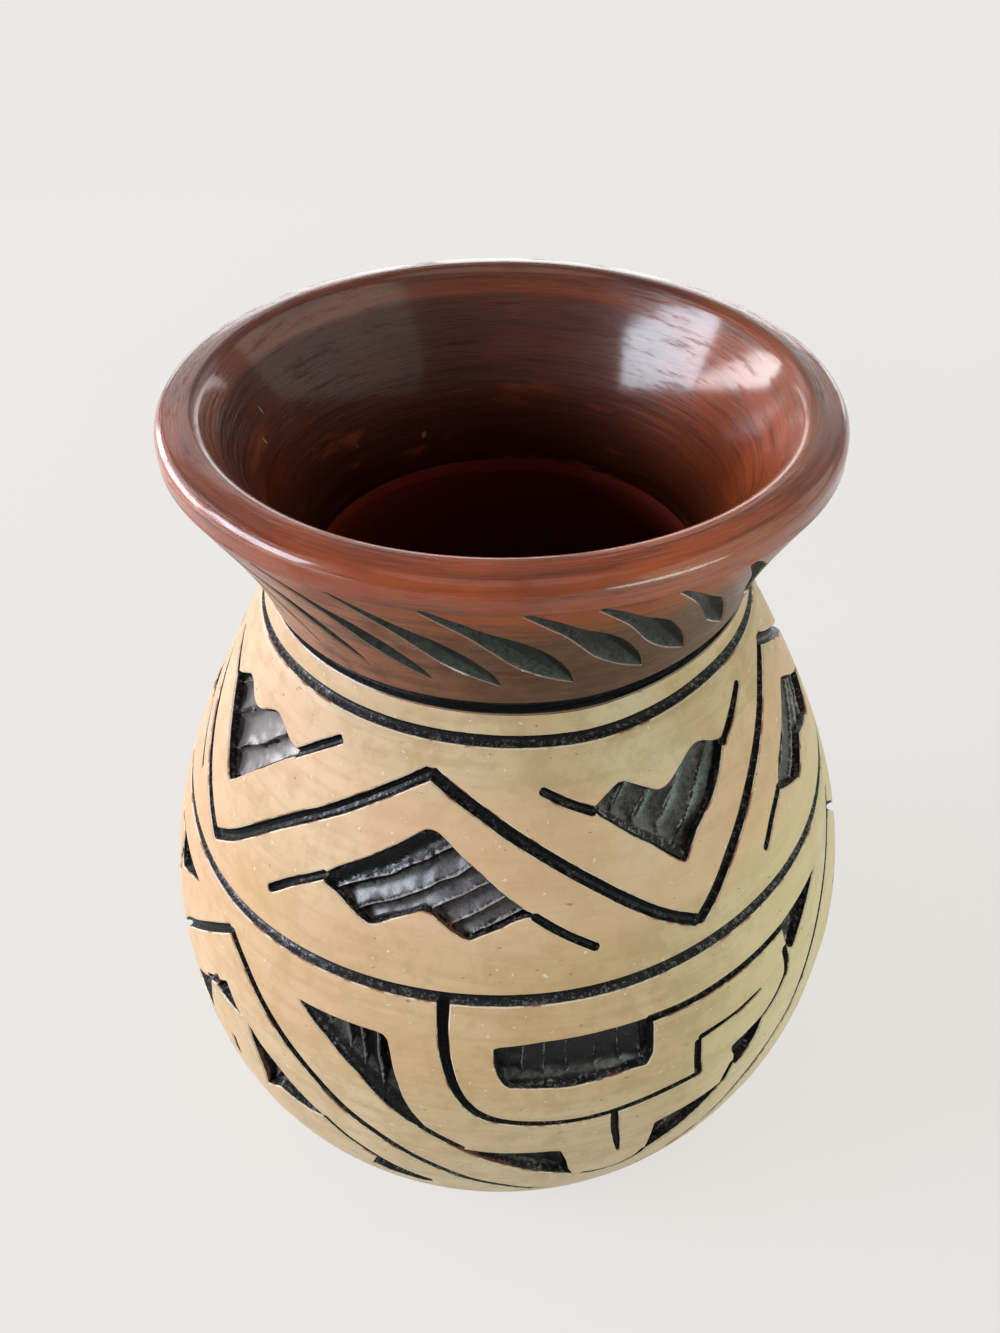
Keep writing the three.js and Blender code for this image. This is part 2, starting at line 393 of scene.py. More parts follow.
def smoothLine(points, step):
    # Evenly spaced points of a smooth line through a few (angle, height, ...) ones
    points = np.array(points, float)
    radius = np.interp(points[:, 1], outside[:, 1], outside[:, 0])
    across = np.radians(np.diff(points[:, 0])) * (radius[1:] + radius[:-1]) / 2
    along = np.concatenate([[0], np.cumsum(np.hypot(across, np.diff(points[:, 1])))])
    slopes = np.gradient(points, along, axis=0)
    count = max(2, round(along[-1] / step)) + 1
    line = []
    for place in np.linspace(0, along[-1], count):
        index = min(int(np.searchsorted(along, place, side="right")) - 1, len(along) - 2)
        span = along[index + 1] - along[index]
        share = (place - along[index]) / span
        start, end = points[index], points[index + 1]
        leave, arrive = slopes[index] * span, slopes[index + 1] * span
        line.append(
            (2 * share**3 - 3 * share**2 + 1) * start
            + (share**3 - 2 * share**2 + share) * leave
            + (3 * share**2 - 2 * share**3) * end
            + (share**3 - share**2) * arrive
        )
    return line


def strokeStations(path, width, depth, endShare):
    # Places of the tool along a stroke, as a matrix each; the tool lifts out at both ends
    line = smoothLine(path, toolHand["step"])
    stations = []
    for index, place in enumerate(line):
        before, after = line[max(index - 1, 0)], line[min(index + 1, len(line) - 1)]
        forward = (potPoint(*after[:2]) - potPoint(*before[:2])).normalized()
        centre = potPoint(*place[:2])
        out = (centre - potPoint(*place[:2], 1)).normalized()
        side = out.cross(forward).normalized()
        across, deep = place[2:4] if len(place) > 2 else (width, depth)
        shakes = toolHand["slowShake"], toolHand["quickShake"]
        shake = sum(noise.noise(centre * scale) * size for scale, size in shakes)
        deep = deep * (1 + toolHand["depthShake"] * shake)
        stations.append([side, out, forward, centre, across * (1 + shake), deep])
    first, last = stations[0], stations[-1]
    for end, way in ((first, -1), (last, 1)):
        tip = list(end)
        tip[3] = end[3] + end[2] * way * toolHand["tipReach"] * end[4] * mm
        tip[4], tip[5] = end[4] * endShare, end[5] * toolHand["tipDepth"]
        stations.insert(0 if way < 0 else len(stations), tip)
    matrices = []
    for side, out, forward, centre, across, deep in stations:
        columns = (side * across * mm, out * deep * mm, forward * mm, centre)
        rows = [[column[axis] for column in columns] for axis in range(3)]
        matrices.append(Matrix(rows + [[0, 0, 0, 1]]))
    return matrices


def addWork(shape, work):
    # Puts one finished cutter among the others, faces outwards
    bmesh.ops.recalc_face_normals(work, faces=work.faces)
    if work.calc_volume(signed=True) < 0:
        bmesh.ops.reverse_faces(work, faces=work.faces)
    part = bpy.data.meshes.new("part")
    work.to_mesh(part)
    work.free()
    shape.from_mesh(part)
    bpy.data.meshes.remove(part)


def addStroke(shape, path, width=0, depth=0, endShare=0.55, section=loopSection):
    # Sweeps a tool along a path on the pot; the path may carry its own width and depth
    stations = strokeStations(path, width, depth, endShare)
    work = bmesh.new()
    face = work.faces.new([work.verts.new(stations[0] @ Vector((across, up, 0))) for across, up in section])
    for before, after in zip(stations, stations[1:]):
        made = bmesh.ops.extrude_face_region(work, geom=[face])["geom"]
        moved = [item for item in made if isinstance(item, bmesh.types.BMVert)]
        bmesh.ops.transform(work, matrix=after @ before.inverted(), verts=moved)
        if before is not stations[0]:
            bmesh.ops.delete(work, geom=[face], context="FACES_ONLY")
        face = [item for item in made if isinstance(item, bmesh.types.BMFace)][0]
    addWork(shape, work)


pocket = {
    "lift": 1.6,
    "edge": 0.4,
    "depth": 3.0,
    "least": 0.6,
    "lean": 0.45,
    "grid": 0.8,
    "gridStart": 0.3,
    "corner": 0.5,
    "gentle": 0.72,  # share of a scoop's width that its gentle flank takes
    "riseShare": 0.35,
    "crest": (0.5, 0.05),  # size and scale of each unevenness
    "rough": (0.1, 0.9),
    "ragged": (0.3, 0.45),
    "stray": (0.7, 0.16),
}


def pocketBlock(flat, depth):
    # A block with straight walls and small rounds at its corners, laid out flat
    work = bmesh.new()
    work.faces.new([work.verts.new((x, y, pocket["lift"])) for x, y in flat])
    bmesh.ops.bevel(
        work,
        geom=work.verts[:],
        offset=pocket["corner"],
        segments=2,
        affect="VERTICES",
        profile=0.5,
        material=-1,
    )
    made = bmesh.ops.extrude_face_region(work, geom=work.faces[:])["geom"]
    floor = [item for item in made if isinstance(item, bmesh.types.BMFace)][0]
    bmesh.ops.translate(work, verts=floor.verts[:], vec=(0, 0, -pocket["lift"]))
    bmesh.ops.recalc_face_normals(work, faces=work.faces)
    for inset, drop in ((pocket["edge"], pocket["edge"]), (pocket["lean"], depth - pocket["edge"])):
        bmesh.ops.inset_region(
            work, faces=[floor], thickness=inset, use_even_offset=True, use_boundary=True
        )
        bmesh.ops.translate(work, verts=floor.verts[:], vec=(0, 0, -drop))
    return work


def pocketPlanes(flat, scoops, way):
    # Cuts for a fine grid, for the crests between the scoops and for the valleys
    planes = []
    for values, along in zip(zip(*flat), (Vector((1, 0, 0)), Vector((0, 1, 0)))):
        places = np.arange(min(values) + pocket["gridStart"], max(values), pocket["grid"])
        planes += [(along * place, along) for place in places]
    gentle = scoops.get("gentle", pocket["gentle"])
    planes += [(way * place, way) for place in scoops["lines"]]
    valleys = zip(scoops["lines"], scoops["lines"][1:])
    return planes + [(way * (low + (high - low) * gentle), way) for low, high in valleys]


def addPocket(shape, corners, scoops):
    # Cuts a hollow with straight walls; its floor shows the scoops of the tool
    depth = scoops.get("depth", pocket["depth"])
    angles, heights = zip(*corners)
    midAngle, midHeight = (min(angles) + max(angles)) / 2, (min(heights) + max(heights)) / 2
    perDegree = math.radians(1) * outRadius(midHeight)
    midArc = float(np.interp(midHeight, outside[:, 1], outArc))
    arcs = [float(np.interp(height, outside[:, 1], outArc)) - midArc for height in heights]
    flat = [((angle - midAngle) * perDegree, arc) for angle, arc in zip(angles, arcs)]
    turn = math.radians(scoops["angle"])
    way = Vector((math.cos(turn), math.sin(turn), 0))
    work = pocketBlock(flat, depth)
    for middle, normal in pocketPlanes(flat, scoops, way):
        parts = work.verts[:] + work.edges[:] + work.faces[:]
        bmesh.ops.bisect_plane(work, geom=parts, dist=1e-5, plane_co=middle, plane_no=normal)
    stray, scale = pocket["stray"]
    for corner in work.verts:
        if corner.co.z < -depth + member["touch"]:
            x, y, z = corner.co
            corner.co.z = -scoopDepth(x, y, depth, scoops)
            corner.co += way * stray * noise.noise(Vector((x * scale, y * scale, scoops["seed"] + 5)))
    for corner in work.verts:
        x, y, z = corner.co
        height = float(np.interp(y + midArc, outArc, outside[:, 1]))
        corner.co = potPoint(midAngle + x / perDegree, height, -z)
    addWork(shape, work)


def scoopDepth(x, y, depth, scoops):
    # Floor of a pocket: hollow scoops side by side, each with one gentle and one steep flank
    def uneven(kind, first, second, third):
        return pocket[kind][0] * noise.noise(Vector((first, second, third)))

    turn = math.radians(scoops["angle"])
    across = x * math.cos(turn) + y * math.sin(turn)
    lines, gentle = scoops["lines"], scoops.get("gentle", pocket["gentle"])
    index = min(max(int(np.searchsorted(lines, across, side="right")) - 1, 0), len(lines) - 2)
    share = min(max((across - lines[index]) / (lines[index + 1] - lines[index]), 0), 1)
    run = (gentle - share) / gentle if share < gentle else (share - gentle) / (1 - gentle)
    crest = uneven("crest", index * 3.7, x * pocket["crest"][1], scoops["seed"])
    sunk = depth + scoops["rise"] * (pocket["riseShare"] - run * run) + crest
    for angle, start, steep, least in scoops.get("banks", ()):
        bank = math.radians(angle)
        sunk = min(sunk, max(least, (x * math.cos(bank) + y * math.sin(bank) - start) * steep))
    fine, coarse = pocket["rough"][1], pocket["ragged"][1]
    rough = uneven("rough", x * fine, y * fine, scoops["seed"])
    ragged = run * run * uneven("ragged", x * coarse, y * coarse, scoops["seed"] + 9)
    return max(pocket["least"], sunk + rough + ragged)


def carve(piece, cutters):
    # Takes each cutter out of a member, one after the other
    for cutter in cutters:
        cut = piece.modifiers.new(cutter.name, "BOOLEAN")
        cut.operation = "DIFFERENCE"
        cut.solver = "MANIFOLD"
        cut.object = cutter
    dressed = bpy.data.meshes.new_from_object(piece.evaluated_get(bpy.context.evaluated_depsgraph_get()))
    piece.modifiers.clear()
    plain = piece.data
    piece.data = dressed
    bpy.data.meshes.remove(plain)
    dressed.name = piece.name
    print("carved", piece.name, len(dressed.polygons), "faces")


def strokeCutter(name, strokes, width, depth):
    shape = bmesh.new()
    for path in strokes:
        addStroke(shape, path, width, depth)
    return finishedMesh(name, shape, scratch)


def pocketCutter(name, pockets):
    shape = bmesh.new()
    for number, (corners, scoops) in enumerate(pockets):
        addPocket(shape, corners, dict(scoops, seed=number * 1.7))
    return finishedMesh(name, shape, scratch)


def copied(points, centre, newCentre, stretch=1.0):
    # The same figure further round, kept at its distance from the wandering middle ring
    moved = []
    for angle, height, *rest in points:
        newAngle = newCentre + (angle - centre) * stretch
        below = (height - ringReach["motifFoot"]) / ringReach["motifRise"]
        above = (ringReach["motifTop"] - height) / ringReach["motifFall"]
        follow = min(max(below if height < middleRing else above, 0), 1)
        lift = float(aroundAt(ringLevels, newAngle) - aroundAt(ringLevels, angle)) * follow
        moved.append((newAngle, height + lift, *rest))
    return moved


def mirrored(points, centre):
    return [(2 * centre - angle, height) for angle, height in reversed(points)]


def spread(points, start, end):
    # A stroke fitted between two other end points
    def moved(value, low, high, newLow, newHigh):
        return newLow + (value - low) / (high - low) * (newHigh - newLow)

    limits = list(zip(points[0], points[-1], start, end))
    return [tuple(moved(value, *ends) for value, ends in zip(point, limits)) for point in points]


# The upper band: a zigzag with a stepped triangle in each bend, four times round

upperBand = {
    "stroke": (2.95, 2.0),  # width and depth
    "arm": (2.2, 1.6),
    "riseCentre": -15.1,
    "fallCentre": 31,
    "lastHigh": (72.9, 169.6),  # the last bend that shows from the front
    "hiddenHighs": [165.1, 257.5],
    "hiddenLows": [119, 211.3],
    "highLevel": 168,
    "lowAboveRing": 6.6,
    "bendGap": 0.2,  # degrees from a bend to where each stroke ends
}
zigzagRise = [
    (-59.8, 126.8), (-55, 131.4), (-50, 137.3), (-45, 143), (-40, 147.9), (-35, 152.1), (-30, 156.3),
    (-25, 160.3), (-20, 164), (-15.3, 167.2),
]
zigzagFall = [
    (-14.9, 167.2), (-10, 163.9), (-5, 160.6), (0, 156.8), (5, 153), (10, 148.8), (15, 144.3),
    (20, 139.4), (25, 134.6), (31.2, 129.6),
]
zigzagRiseRight = [
    (31.8, 129.4), (35, 133), (40, 139.3), (45, 145), (50, 150.5), (55, 155.4), (60, 160.1),
    (65, 164.6), (72.6, 169.7),
]
zigzagFallLeft = [
    (-102.8, 168), (-92, 157.6), (-80.2, 146.2), (-77, 142.8), (-72, 137.6), (-66.7, 132.6),
    (-59.6, 126.6),
]
risingPocket = [
    (-32, 140.7), (-30, 143.1), (-25, 147.4), (-20, 151.9), (-17.5, 154.2), (-15.2, 156.1),
    (-14, 156.4), (-12.7, 156.1), (-10.6, 154.5), (-7.9, 151.7), (-5, 149.1), (-2.2, 146.2), (0, 143.9),
    (2.5, 141.5), (4.4, 140.2), (4.1, 139.2), (2.5, 139.2), (0.7, 138.4), (-1.5, 136.8), (-4.3, 135.2),
    (-6.1, 133.9), (-7.5, 134.2), (-9.3, 135.5), (-11.1, 137), (-12.7, 138.6), (-14.3, 138.9),
    (-16.1, 137.6), (-18.8, 135.7), (-21.5, 133.4), (-22.9, 132.8), (-24.7, 133.6), (-27, 135.2),
    (-29.3, 136.8), (-31.5, 137.4), (-32.5, 138.1),
]
risingArms = [
    [(-42.4, 129), (-38, 134.2), (-35, 137), (-32, 139.8)],
    [(4, 139.6), (9.2, 134.9), (13.6, 131.3)],
]
fallingPocket = [
    (15, 160.2), (16.5, 161.4), (18.7, 163.1), (20.2, 164.1), (21.3, 164.5), (22.6, 164.2),
    (24.3, 163.1), (27, 161.4), (28.5, 160.4), (30, 160.4), (31.7, 161.2), (34.3, 163.1), (37, 164.9),
    (38.7, 165.6), (40, 165.7), (41.7, 165.1), (43.9, 163.9), (45.2, 163.4), (47, 163.2), (46.7, 161.9),
    (45.2, 160), (43, 156.7), (40, 153), (37.4, 150.8), (34.8, 148.4), (33, 145.8), (31.3, 142.9),
    (30, 143.9), (27.8, 146.4), (25, 149.8), (21.7, 152.8), (18.3, 156.3), (15.9, 158.5),
]
fallingArms = [[(6.2, 164.9), (10.5, 162.2), (15.4, 159.6)], [(46.2, 161.9), (51, 165.4), (56.4, 169.5)]]
fallingPocketLeft = [
    (-76.1, 158), (-73.6, 159.7), (-71.3, 161.4), (-69.4, 162.9), (-67.8, 163.3), (-66.1, 163.1),
    (-64.4, 161.8), (-62.8, 160.8), (-61.3, 160.4), (-59.4, 161), (-57.5, 162.5), (-55.3, 163.8),
    (-53.4, 164.2), (-51.5, 163.5), (-49.4, 162.3), (-47.5, 161.2), (-45.5, 160.9), (-45, 159.5),
    (-45.3, 158.4), (-47.5, 156.5), (-49.8, 153.9), (-52.1, 151.3), (-54.8, 148.3), (-57.1, 145.3),
    (-59, 142.7), (-60.9, 140.5), (-61.7, 140.9), (-63.2, 142.4), (-65.2, 145), (-67.5, 147.9),
    (-69.8, 150.9), (-72.5, 153.9), (-74.8, 156.2),
]
fallingArmsLeft = [
    [(-85, 162.6), (-80.5, 160.4), (-75.6, 158)],
    [(-45.4, 159.5), (-39.6, 164.5), (-35.3, 167.8)],
]
risingPocketRight = [
    (57, 143.5), (60, 148), (65, 151.7), (70, 155.5), (72.6, 157.3), (74, 157.7), (75.4, 157.2),
    (79, 154.6), (83, 151), (88, 147), (91.5, 144.6), (91, 143.2), (88.5, 142.4), (85, 140.2),
    (82, 139.2), (79.4, 140.8), (76, 141.6), (72.5, 143), (70, 141), (67, 138.2), (65.3, 137.6),
    (61.4, 139.4), (57.6, 141.4),
]
risingArmsRight = [[(48.8, 134.3), (52.5, 138.8), (57.3, 143)], [(91, 143.8), (97, 140.6), (102, 138.2)]]
risingScoops = {
    "angle": 123, "lines": [-20, -15, -10.5, -5.9, -1, 5.05, 13], "rise": 2.2, "gentle": 0.8,
    "banks": [(-52.7, -11.2, 0.62, 0.5)],
}
fallingScoops = {
    "angle": 139, "lines": [-10, -4, 1.75, 8.35, 14.5, 21], "rise": 1.4, "gentle": 0.8,
    "banks": [(50.7, -9.3, 0.75, 0.5)],
}
leftScoops = {"angle": 134, "lines": [-15, -8, -1.5, 7.2, 15, 22], "rise": 1.4, "gentle": 0.8}


def upperCutters():
    highs, lows, gap = upperBand["hiddenHighs"], upperBand["hiddenLows"], upperBand["bendGap"]
    lowLevels = [float(aroundAt(ringLevels, angle)) + upperBand["lowAboveRing"] for angle in lows]
    rises, falls = [zigzagRise, zigzagRiseRight], [zigzagFall, zigzagFallLeft]
    start = upperBand["lastHigh"]
    for high, low, lowLevel in zip(highs, lows, lowLevels):
        end = (high, upperBand["highLevel"])
        falls.append(spread(zigzagFall, start, (low - gap, lowLevel)))
        rises.append(spread(zigzagRise, (low + gap, lowLevel), (end[0] - gap, end[1])))
        start = (end[0] + gap, end[1])
    pockets = [
        (risingPocket, risingScoops),
        (fallingPocket, fallingScoops),
        (fallingPocketLeft, leftScoops),
        (risingPocketRight, risingScoops),
    ]
    arms = risingArms + fallingArms + fallingArmsLeft + risingArmsRight
    copies = [(upperBand["riseCentre"], high, risingPocket, risingScoops, risingArms) for high in highs]
    copies += [(upperBand["fallCentre"], low, fallingPocket, fallingScoops, fallingArms) for low in lows]
    for centre, newCentre, corners, scoops, paths in copies:
        pockets.append((copied(corners, centre, newCentre), scoops))
        arms += [copied(path, centre, newCentre) for path in paths]
    return [
        strokeCutter("zigzagRises", rises, *upperBand["stroke"]),
        strokeCutter("zigzagFalls", falls, *upperBand["stroke"]),
        pocketCutter("upperPockets", pockets),
        strokeCutter("arms", arms, *upperBand["arm"]),
    ]


# The lower band: a deep zigzag with a big motif in each bend, hanging or rising

lowerBand = {
    "hangs": [(12.3, 1.0), (133.2, 0.959), (251.4, 0.959)],  # centre and stretch of each hanging motif
    "rises": [(-49.4, 1.0), (74, 1.0), (192.3, 0.959)],
    "stroke": (2.6, 1.8),  # width and depth
    "line": (2.1, 1.6),
}
deepFall = [
    (-49.2, 110), (-45, 104.5), (-40, 97), (-35, 90), (-30, 83.2), (-25, 75.6), (-20, 69.5), (-15, 63.4),
    (-10, 57.8), (-5, 52), (0, 47.4), (2.5, 44.6), (8, 39), (14.5, 33.5),
]
deepRise = [
    (15, 33.5), (22, 40), (30, 48.6), (37, 58), (41.2, 66), (46.2, 73.1), (51.2, 80.3), (55.7, 89.8),
    (61.2, 100.5), (67, 109.5), (72, 116), (76.5, 121),
]
deepRiseLeft = [
    (-108.4, 31), (-100, 37), (-90, 46), (-84, 52.6), (-79, 60), (-75, 69.7), (-70, 78.7), (-67.5, 84.7),
    (-65, 89.3), (-60, 96.5), (-55, 103.3), (-49.6, 110),
]
hook = [
    (-9.8, 120.4, 2.9, 2), (-9.8, 115, 2.8, 2), (-9.6, 110, 2.6, 2), (-9.2, 105, 2.6, 1.9),
    (-8.5, 100, 2.5, 1.9), (-7.5, 95, 2.4, 1.8), (-5.8, 90, 2.3, 1.8), (-4.5, 87.6, 2.3, 1.7),
    (-2.4, 85.4, 2.2, 1.7), (0, 84.3, 2, 1.6), (5, 83.2, 2, 1.5), (10, 82.9, 1.8, 1.5),
    (14.5, 83.3, 1.9, 1.6), (20, 84.3, 2.1, 1.7), (25, 85.1, 2.1, 1.7), (28.9, 85.4, 2, 1.7),
]
hookStub = [(15.9, 83, 2, 1.7), (16.25, 76, 1.9, 1.6), (17, 69, 1.8, 1.5), (17.7, 62.6, 1, 0.8)]
stepLine = [(29.6, 85.4), (29.3, 91), (29.3, 97.6)]
stepBar = [
    (29.6, 98.2, 2, 1.6), (32.5, 98.7, 1.7, 1.5), (35, 99, 1.4, 1.3), (40, 100, 1.4, 1.3),
    (42, 100.6, 1, 0.9),
]
topBar = [(21, 110.1), (25, 110.2), (30, 110.5), (35, 111), (40, 111.5), (48.2, 112.5)]
windowPocket = [
    (-2.4, 108), (-1.6, 108.6), (5, 110), (10, 110.4), (15, 110.8), (21.9, 111), (22, 107), (21.8, 100),
    (20.7, 96.5), (17.7, 96.7), (12.3, 95.7), (8.5, 95.1), (5, 95.6), (0, 96.1), (-1, 97.6),
    (-1.8, 100.4), (-2.3, 104),
]
cornerPocket = [
    (48, 113.7), (54.3, 114.8), (57.6, 115.2), (61.8, 115.8), (60.5, 114), (58.5, 111.7), (56.9, 110),
    (54.8, 107.4), (52.7, 104.8), (51, 102.4), (49.5, 104.2), (48.7, 107.8), (48.4, 111),
]
cornerLink = [
    (48.6, 106, 2.3, 1.8), (48.9, 100.4, 2.2, 1.7), (48.6, 97.8, 2, 1.7), (47.3, 95.4, 1.8, 1.6),
    (45.2, 92.5, 1.6, 1.5), (42.6, 90.3, 1.5, 1.4), (39, 88.8, 1.5, 1.4),
]
stepPocket = [
    (35.8, 88.2), (37, 89.1), (40, 89.8), (43, 90.3), (42.2, 86.4), (41.2, 83.7), (39.5, 80.6),
    (37.6, 77.4), (37, 79.2), (36.5, 81.4), (36.6, 83.4), (36, 85.4),
]
stepLink = [(36.7, 81), (36, 78), (35.4, 74.6)]
toePocket = [
    (23, 71.5), (25, 72.3), (30, 73.2), (33.7, 74.3), (35.9, 75.4), (34.7, 72.1), (33.3, 69.4),
    (31.2, 66), (28.7, 62), (25.8, 58.6), (22.8, 54.6), (22.8, 60), (22.9, 66),
]
tongueLine = [(22.9, 57), (22, 53.6), (20, 51.2), (18.4, 50.2), (15.8, 50.2), (12.8, 51.4)]
heelPocket = [
    (-6.2, 71.3), (-3, 70.6), (0, 70.3), (7, 70.1), (8.4, 69.4), (9, 66.7), (9.8, 62.2), (10.4, 57),
    (11.7, 51.2), (9, 54.4), (6, 57), (3, 59.8), (0, 62.6), (-3, 65.6), (-5, 67.9), (-7.4, 70.9),
]
bladePocket = [
    (-33.7, 106.8), (-30, 106.9), (-25, 107.2), (-20, 107.5), (-18.6, 107.3), (-17.7, 105.9),
    (-17.2, 102.5), (-16.6, 97.5), (-15.7, 92.5), (-15.1, 88.9), (-13.9, 84.5), (-11.8, 79.2),
    (-10.4, 76.6), (-11.7, 76.4), (-15, 79.8), (-17.3, 83), (-20, 87.4), (-22.3, 91.8), (-25, 95.3),
    (-27.7, 99.3), (-30.2, 102.1),
]
bladeTail = [(-12.6, 78.6), (-9.8, 75.3), (-6.4, 71.4)]
peakPocket = [
    (-49.4, 92.6), (-48, 89.8), (-46.8, 87), (-44.9, 85.6), (-47.5, 84.4), (-50.5, 84.4), (-53, 85),
    (-52.2, 89),
]
peakLink = [(-52, 89.6), (-53.6, 86.4), (-55.6, 84)]
flankPocket = [
    (-44, 85.4), (-41, 81), (-37.5, 77), (-34, 72.1), (-31.5, 68.9), (-28.3, 65.1), (-32, 63.7),
    (-35, 64), (-38.4, 64.6), (-40.6, 61.4), (-42.2, 59), (-41.8, 66.4), (-42.6, 74), (-43.6, 80),
]
flankLink = [(-29, 65.4), (-25, 59.4), (-22.5, 56.5), (-17.5, 50.6), (-11.5, 45.4)]
lowPocket = [(-20.6, 53.8), (-17.4, 50), (-12, 45.4), (-9.6, 42.6), (-13, 41.4), (-19, 42.6), (-22, 46)]
peakStub = [(-49.9, 68.6), (-49.9, 65), (-49.6, 61)]
uprightScoops = {
    "angle": 180, "lines": [-22, -16.2, -10.8, -5.1, 1.9, 7.3, 12.4, 20], "rise": 0.5, "gentle": 0.85,
    "depth": 3.2, "banks": [(90, -10.2, 0.55, 0.9)],
}
bladeScoops = {
    "angle": 188, "lines": [-22, -16, -9.6, -5.4, -1.2, 2.6, 7.4, 13, 20], "rise": 2.2, "gentle": 0.8,
    "depth": 3.2, "banks": [(50.6, -0.45, 0.8, 0.8)],
}
heelScoops = {"angle": 190, "lines": [-18, -11, -5, 0.5, 6, 14, 20], "rise": 0.8, "depth": 3}
cornerScoops = {"angle": 152, "lines": [-16, -11, -6, -2, 3, 8, 14], "rise": 1.1}
flankScoops = {"angle": 150, "lines": [-18, -12, -7, -2.5, 2, 7, 12, 18], "rise": 1.0}


def lowerCutters():
    hangCentre, riseCentre = lowerBand["hangs"][0][0], lowerBand["rises"][0][0]
    deepFalls, deepRises = [deepFall], [deepRise, deepRiseLeft]
    lines, crossing, pockets = [], [], []
    for index, (centre, stretch) in enumerate(lowerBand["hangs"]):
        def place(points):
            return copied(points, hangCentre, centre, stretch) if index else points

        if index:
            deepFalls.append(place(deepFall))
        if index == 1:
            deepRises.append(place(deepRise))
        lines += [place(path) for path in (hook, topBar, cornerLink, tongueLine, bladeTail)]
        crossing += [place(path) for path in (stepLine, hookStub, stepLink)]
        pockets += [
            (place(windowPocket), uprightScoops),
            (place(cornerPocket), cornerScoops),
            (place(stepPocket), cornerScoops),
            (place(toePocket), cornerScoops),
            (place(heelPocket), heelScoops),
            (place(bladePocket), bladeScoops),
        ]
    bars = [copied(stepBar, hangCentre, centre, stretch) for centre, stretch in lowerBand["hangs"]]
    facingScoops = dict(flankScoops, angle=180 - flankScoops["angle"])
    for centre, stretch in lowerBand["rises"]:
        def place(points):
            return copied(points, riseCentre, centre, stretch)

        lines += [place(flankLink), place(mirrored(flankLink, riseCentre))]
        crossing += [place(peakStub), place(peakLink)]
        pockets += [(place(corners), flankScoops) for corners in (peakPocket, flankPocket, lowPocket)]
        pockets += [
            (place(mirrored(corners, riseCentre)), facingScoops) for corners in (flankPocket, lowPocket)
        ]
    return [
        strokeCutter("deepFalls", deepFalls, *lowerBand["stroke"]),
        strokeCutter("deepRises", deepRises, *lowerBand["stroke"]),
        pocketCutter("bandPockets", pockets),
        strokeCutter("hookLines", lines, *lowerBand["line"]),
        strokeCutter("crossLines", crossing, *lowerBand["line"]),
        strokeCutter("stepBars", bars, *lowerBand["line"]),
    ]


# Leaf-shaped gouges that lean round the neck

neckGouges = {
    "feet": [  # degrees of each point and the size of its leaf
        (-52, 0.6), (-40.2, 0.5), (-27.5, 0.7), (-14, 0.85), (-0.8, 1.0), (13.2, 1.2), (27.8, 1.05),
        (38.3, 0.95), (50.5, 0.75),
    ],
    "backCount": 19,
    "backSize": (0.95, 0.18),  # middle and spread of the leaves' size at the back
    "endShare": 0.3,
    "path": [  # angle from the foot, height, width, depth
        (0, 190, 0.5, 0.3), (-2, 192.5, 2.6, 1.2), (-4.7, 195.5, 4.4, 2.2), (-8.5, 200, 5.9, 2.8),
        (-12.2, 205, 5.6, 2.8), (-16.5, 210, 3.6, 2.1), (-20.8, 215, 2.6, 1.5), (-24.3, 218.8, 1.6, 0.9),
    ],
}


def neckCutters():
    feet, count = list(neckGouges["feet"]), neckGouges["backCount"]
    first, last = feet[0][0], feet[-1][0]
    gap = (360 - (last - first)) / (count + 1)
    middle, uneven = neckGouges["backSize"]
    for index in range(count):
        size = middle + uneven * noise.noise(Vector((index * 1.3, 0.5, 0)))
        feet.append((last + gap * (index + 1), size))
    shape = bmesh.new()
    for foot, size in feet:
        path = [
            (foot + angle, height, width * size, depth * size)
            for angle, height, width, depth in neckGouges["path"]
        ]
        addStroke(shape, path, endShare=neckGouges["endShare"], section=leafSection)
    return [finishedMesh("gouges", shape, scratch)]


print("spinning the members")
bowl, wall, collar = lowerBowl(), shoulderWall(), collarCoil()
neck, rim, disc = neckWall(), rimCoil(), baseDisc()
print("carving")
carve(wall, upperCutters())
carve(bowl, lowerCutters())
carve(neck, neckCutters())


# What the hand leaves: the vase leans a little, and no wall is quite round

hand = {
    "wobble": 0.25,
    "wobbleScale": 0.018,
    "leanSmoothing": 8,
    "lean": [  # height and how far the middle lies to the right there
        (0, -1.7), (38, -1.6), (50, -1.05), (62, -0.45), (78, 0), (96, 0.3), (115, 0.5), (160, 0.4),
        (180, -0.2), (202, -1.1), (215, -1.55), (227, -1.7),
    ],
}
leanHeights = np.arange(0, 230)
leanWeights = np.hanning(2 * hand["leanSmoothing"] + 1)
leanPadded = np.pad(np.interp(leanHeights, *np.array(hand["lean"]).T), hand["leanSmoothing"], "edge")
leanCurve = np.convolve(leanPadded, leanWeights / leanWeights.sum(), "valid")


def crestAt(mesh, places, cut):
    # How far each point stands out of its neighbours, as a slope
    ends = np.zeros(len(mesh.edges) * 2, dtype=np.int32)
    mesh.edges.foreach_get("vertices", ends)
    first, second = ends.reshape(-1, 2).T
    length = np.linalg.norm(places[first] - places[second], axis=1)

    def gathered(forward, backward, weight):
        total, share = np.zeros(len(places)), np.full(len(places), 1e-6)
        np.add.at(total, first, forward)
        np.add.at(total, second, backward)
        np.add.at(share, first, weight)
        np.add.at(share, second, weight)
        return total / share

    rise = gathered(cut[second] - cut[first], cut[first] - cut[second], length)
    near = gathered(rise[second], rise[first], np.ones(len(length)))
    return np.clip((rise + near) / 2, -1, 1)


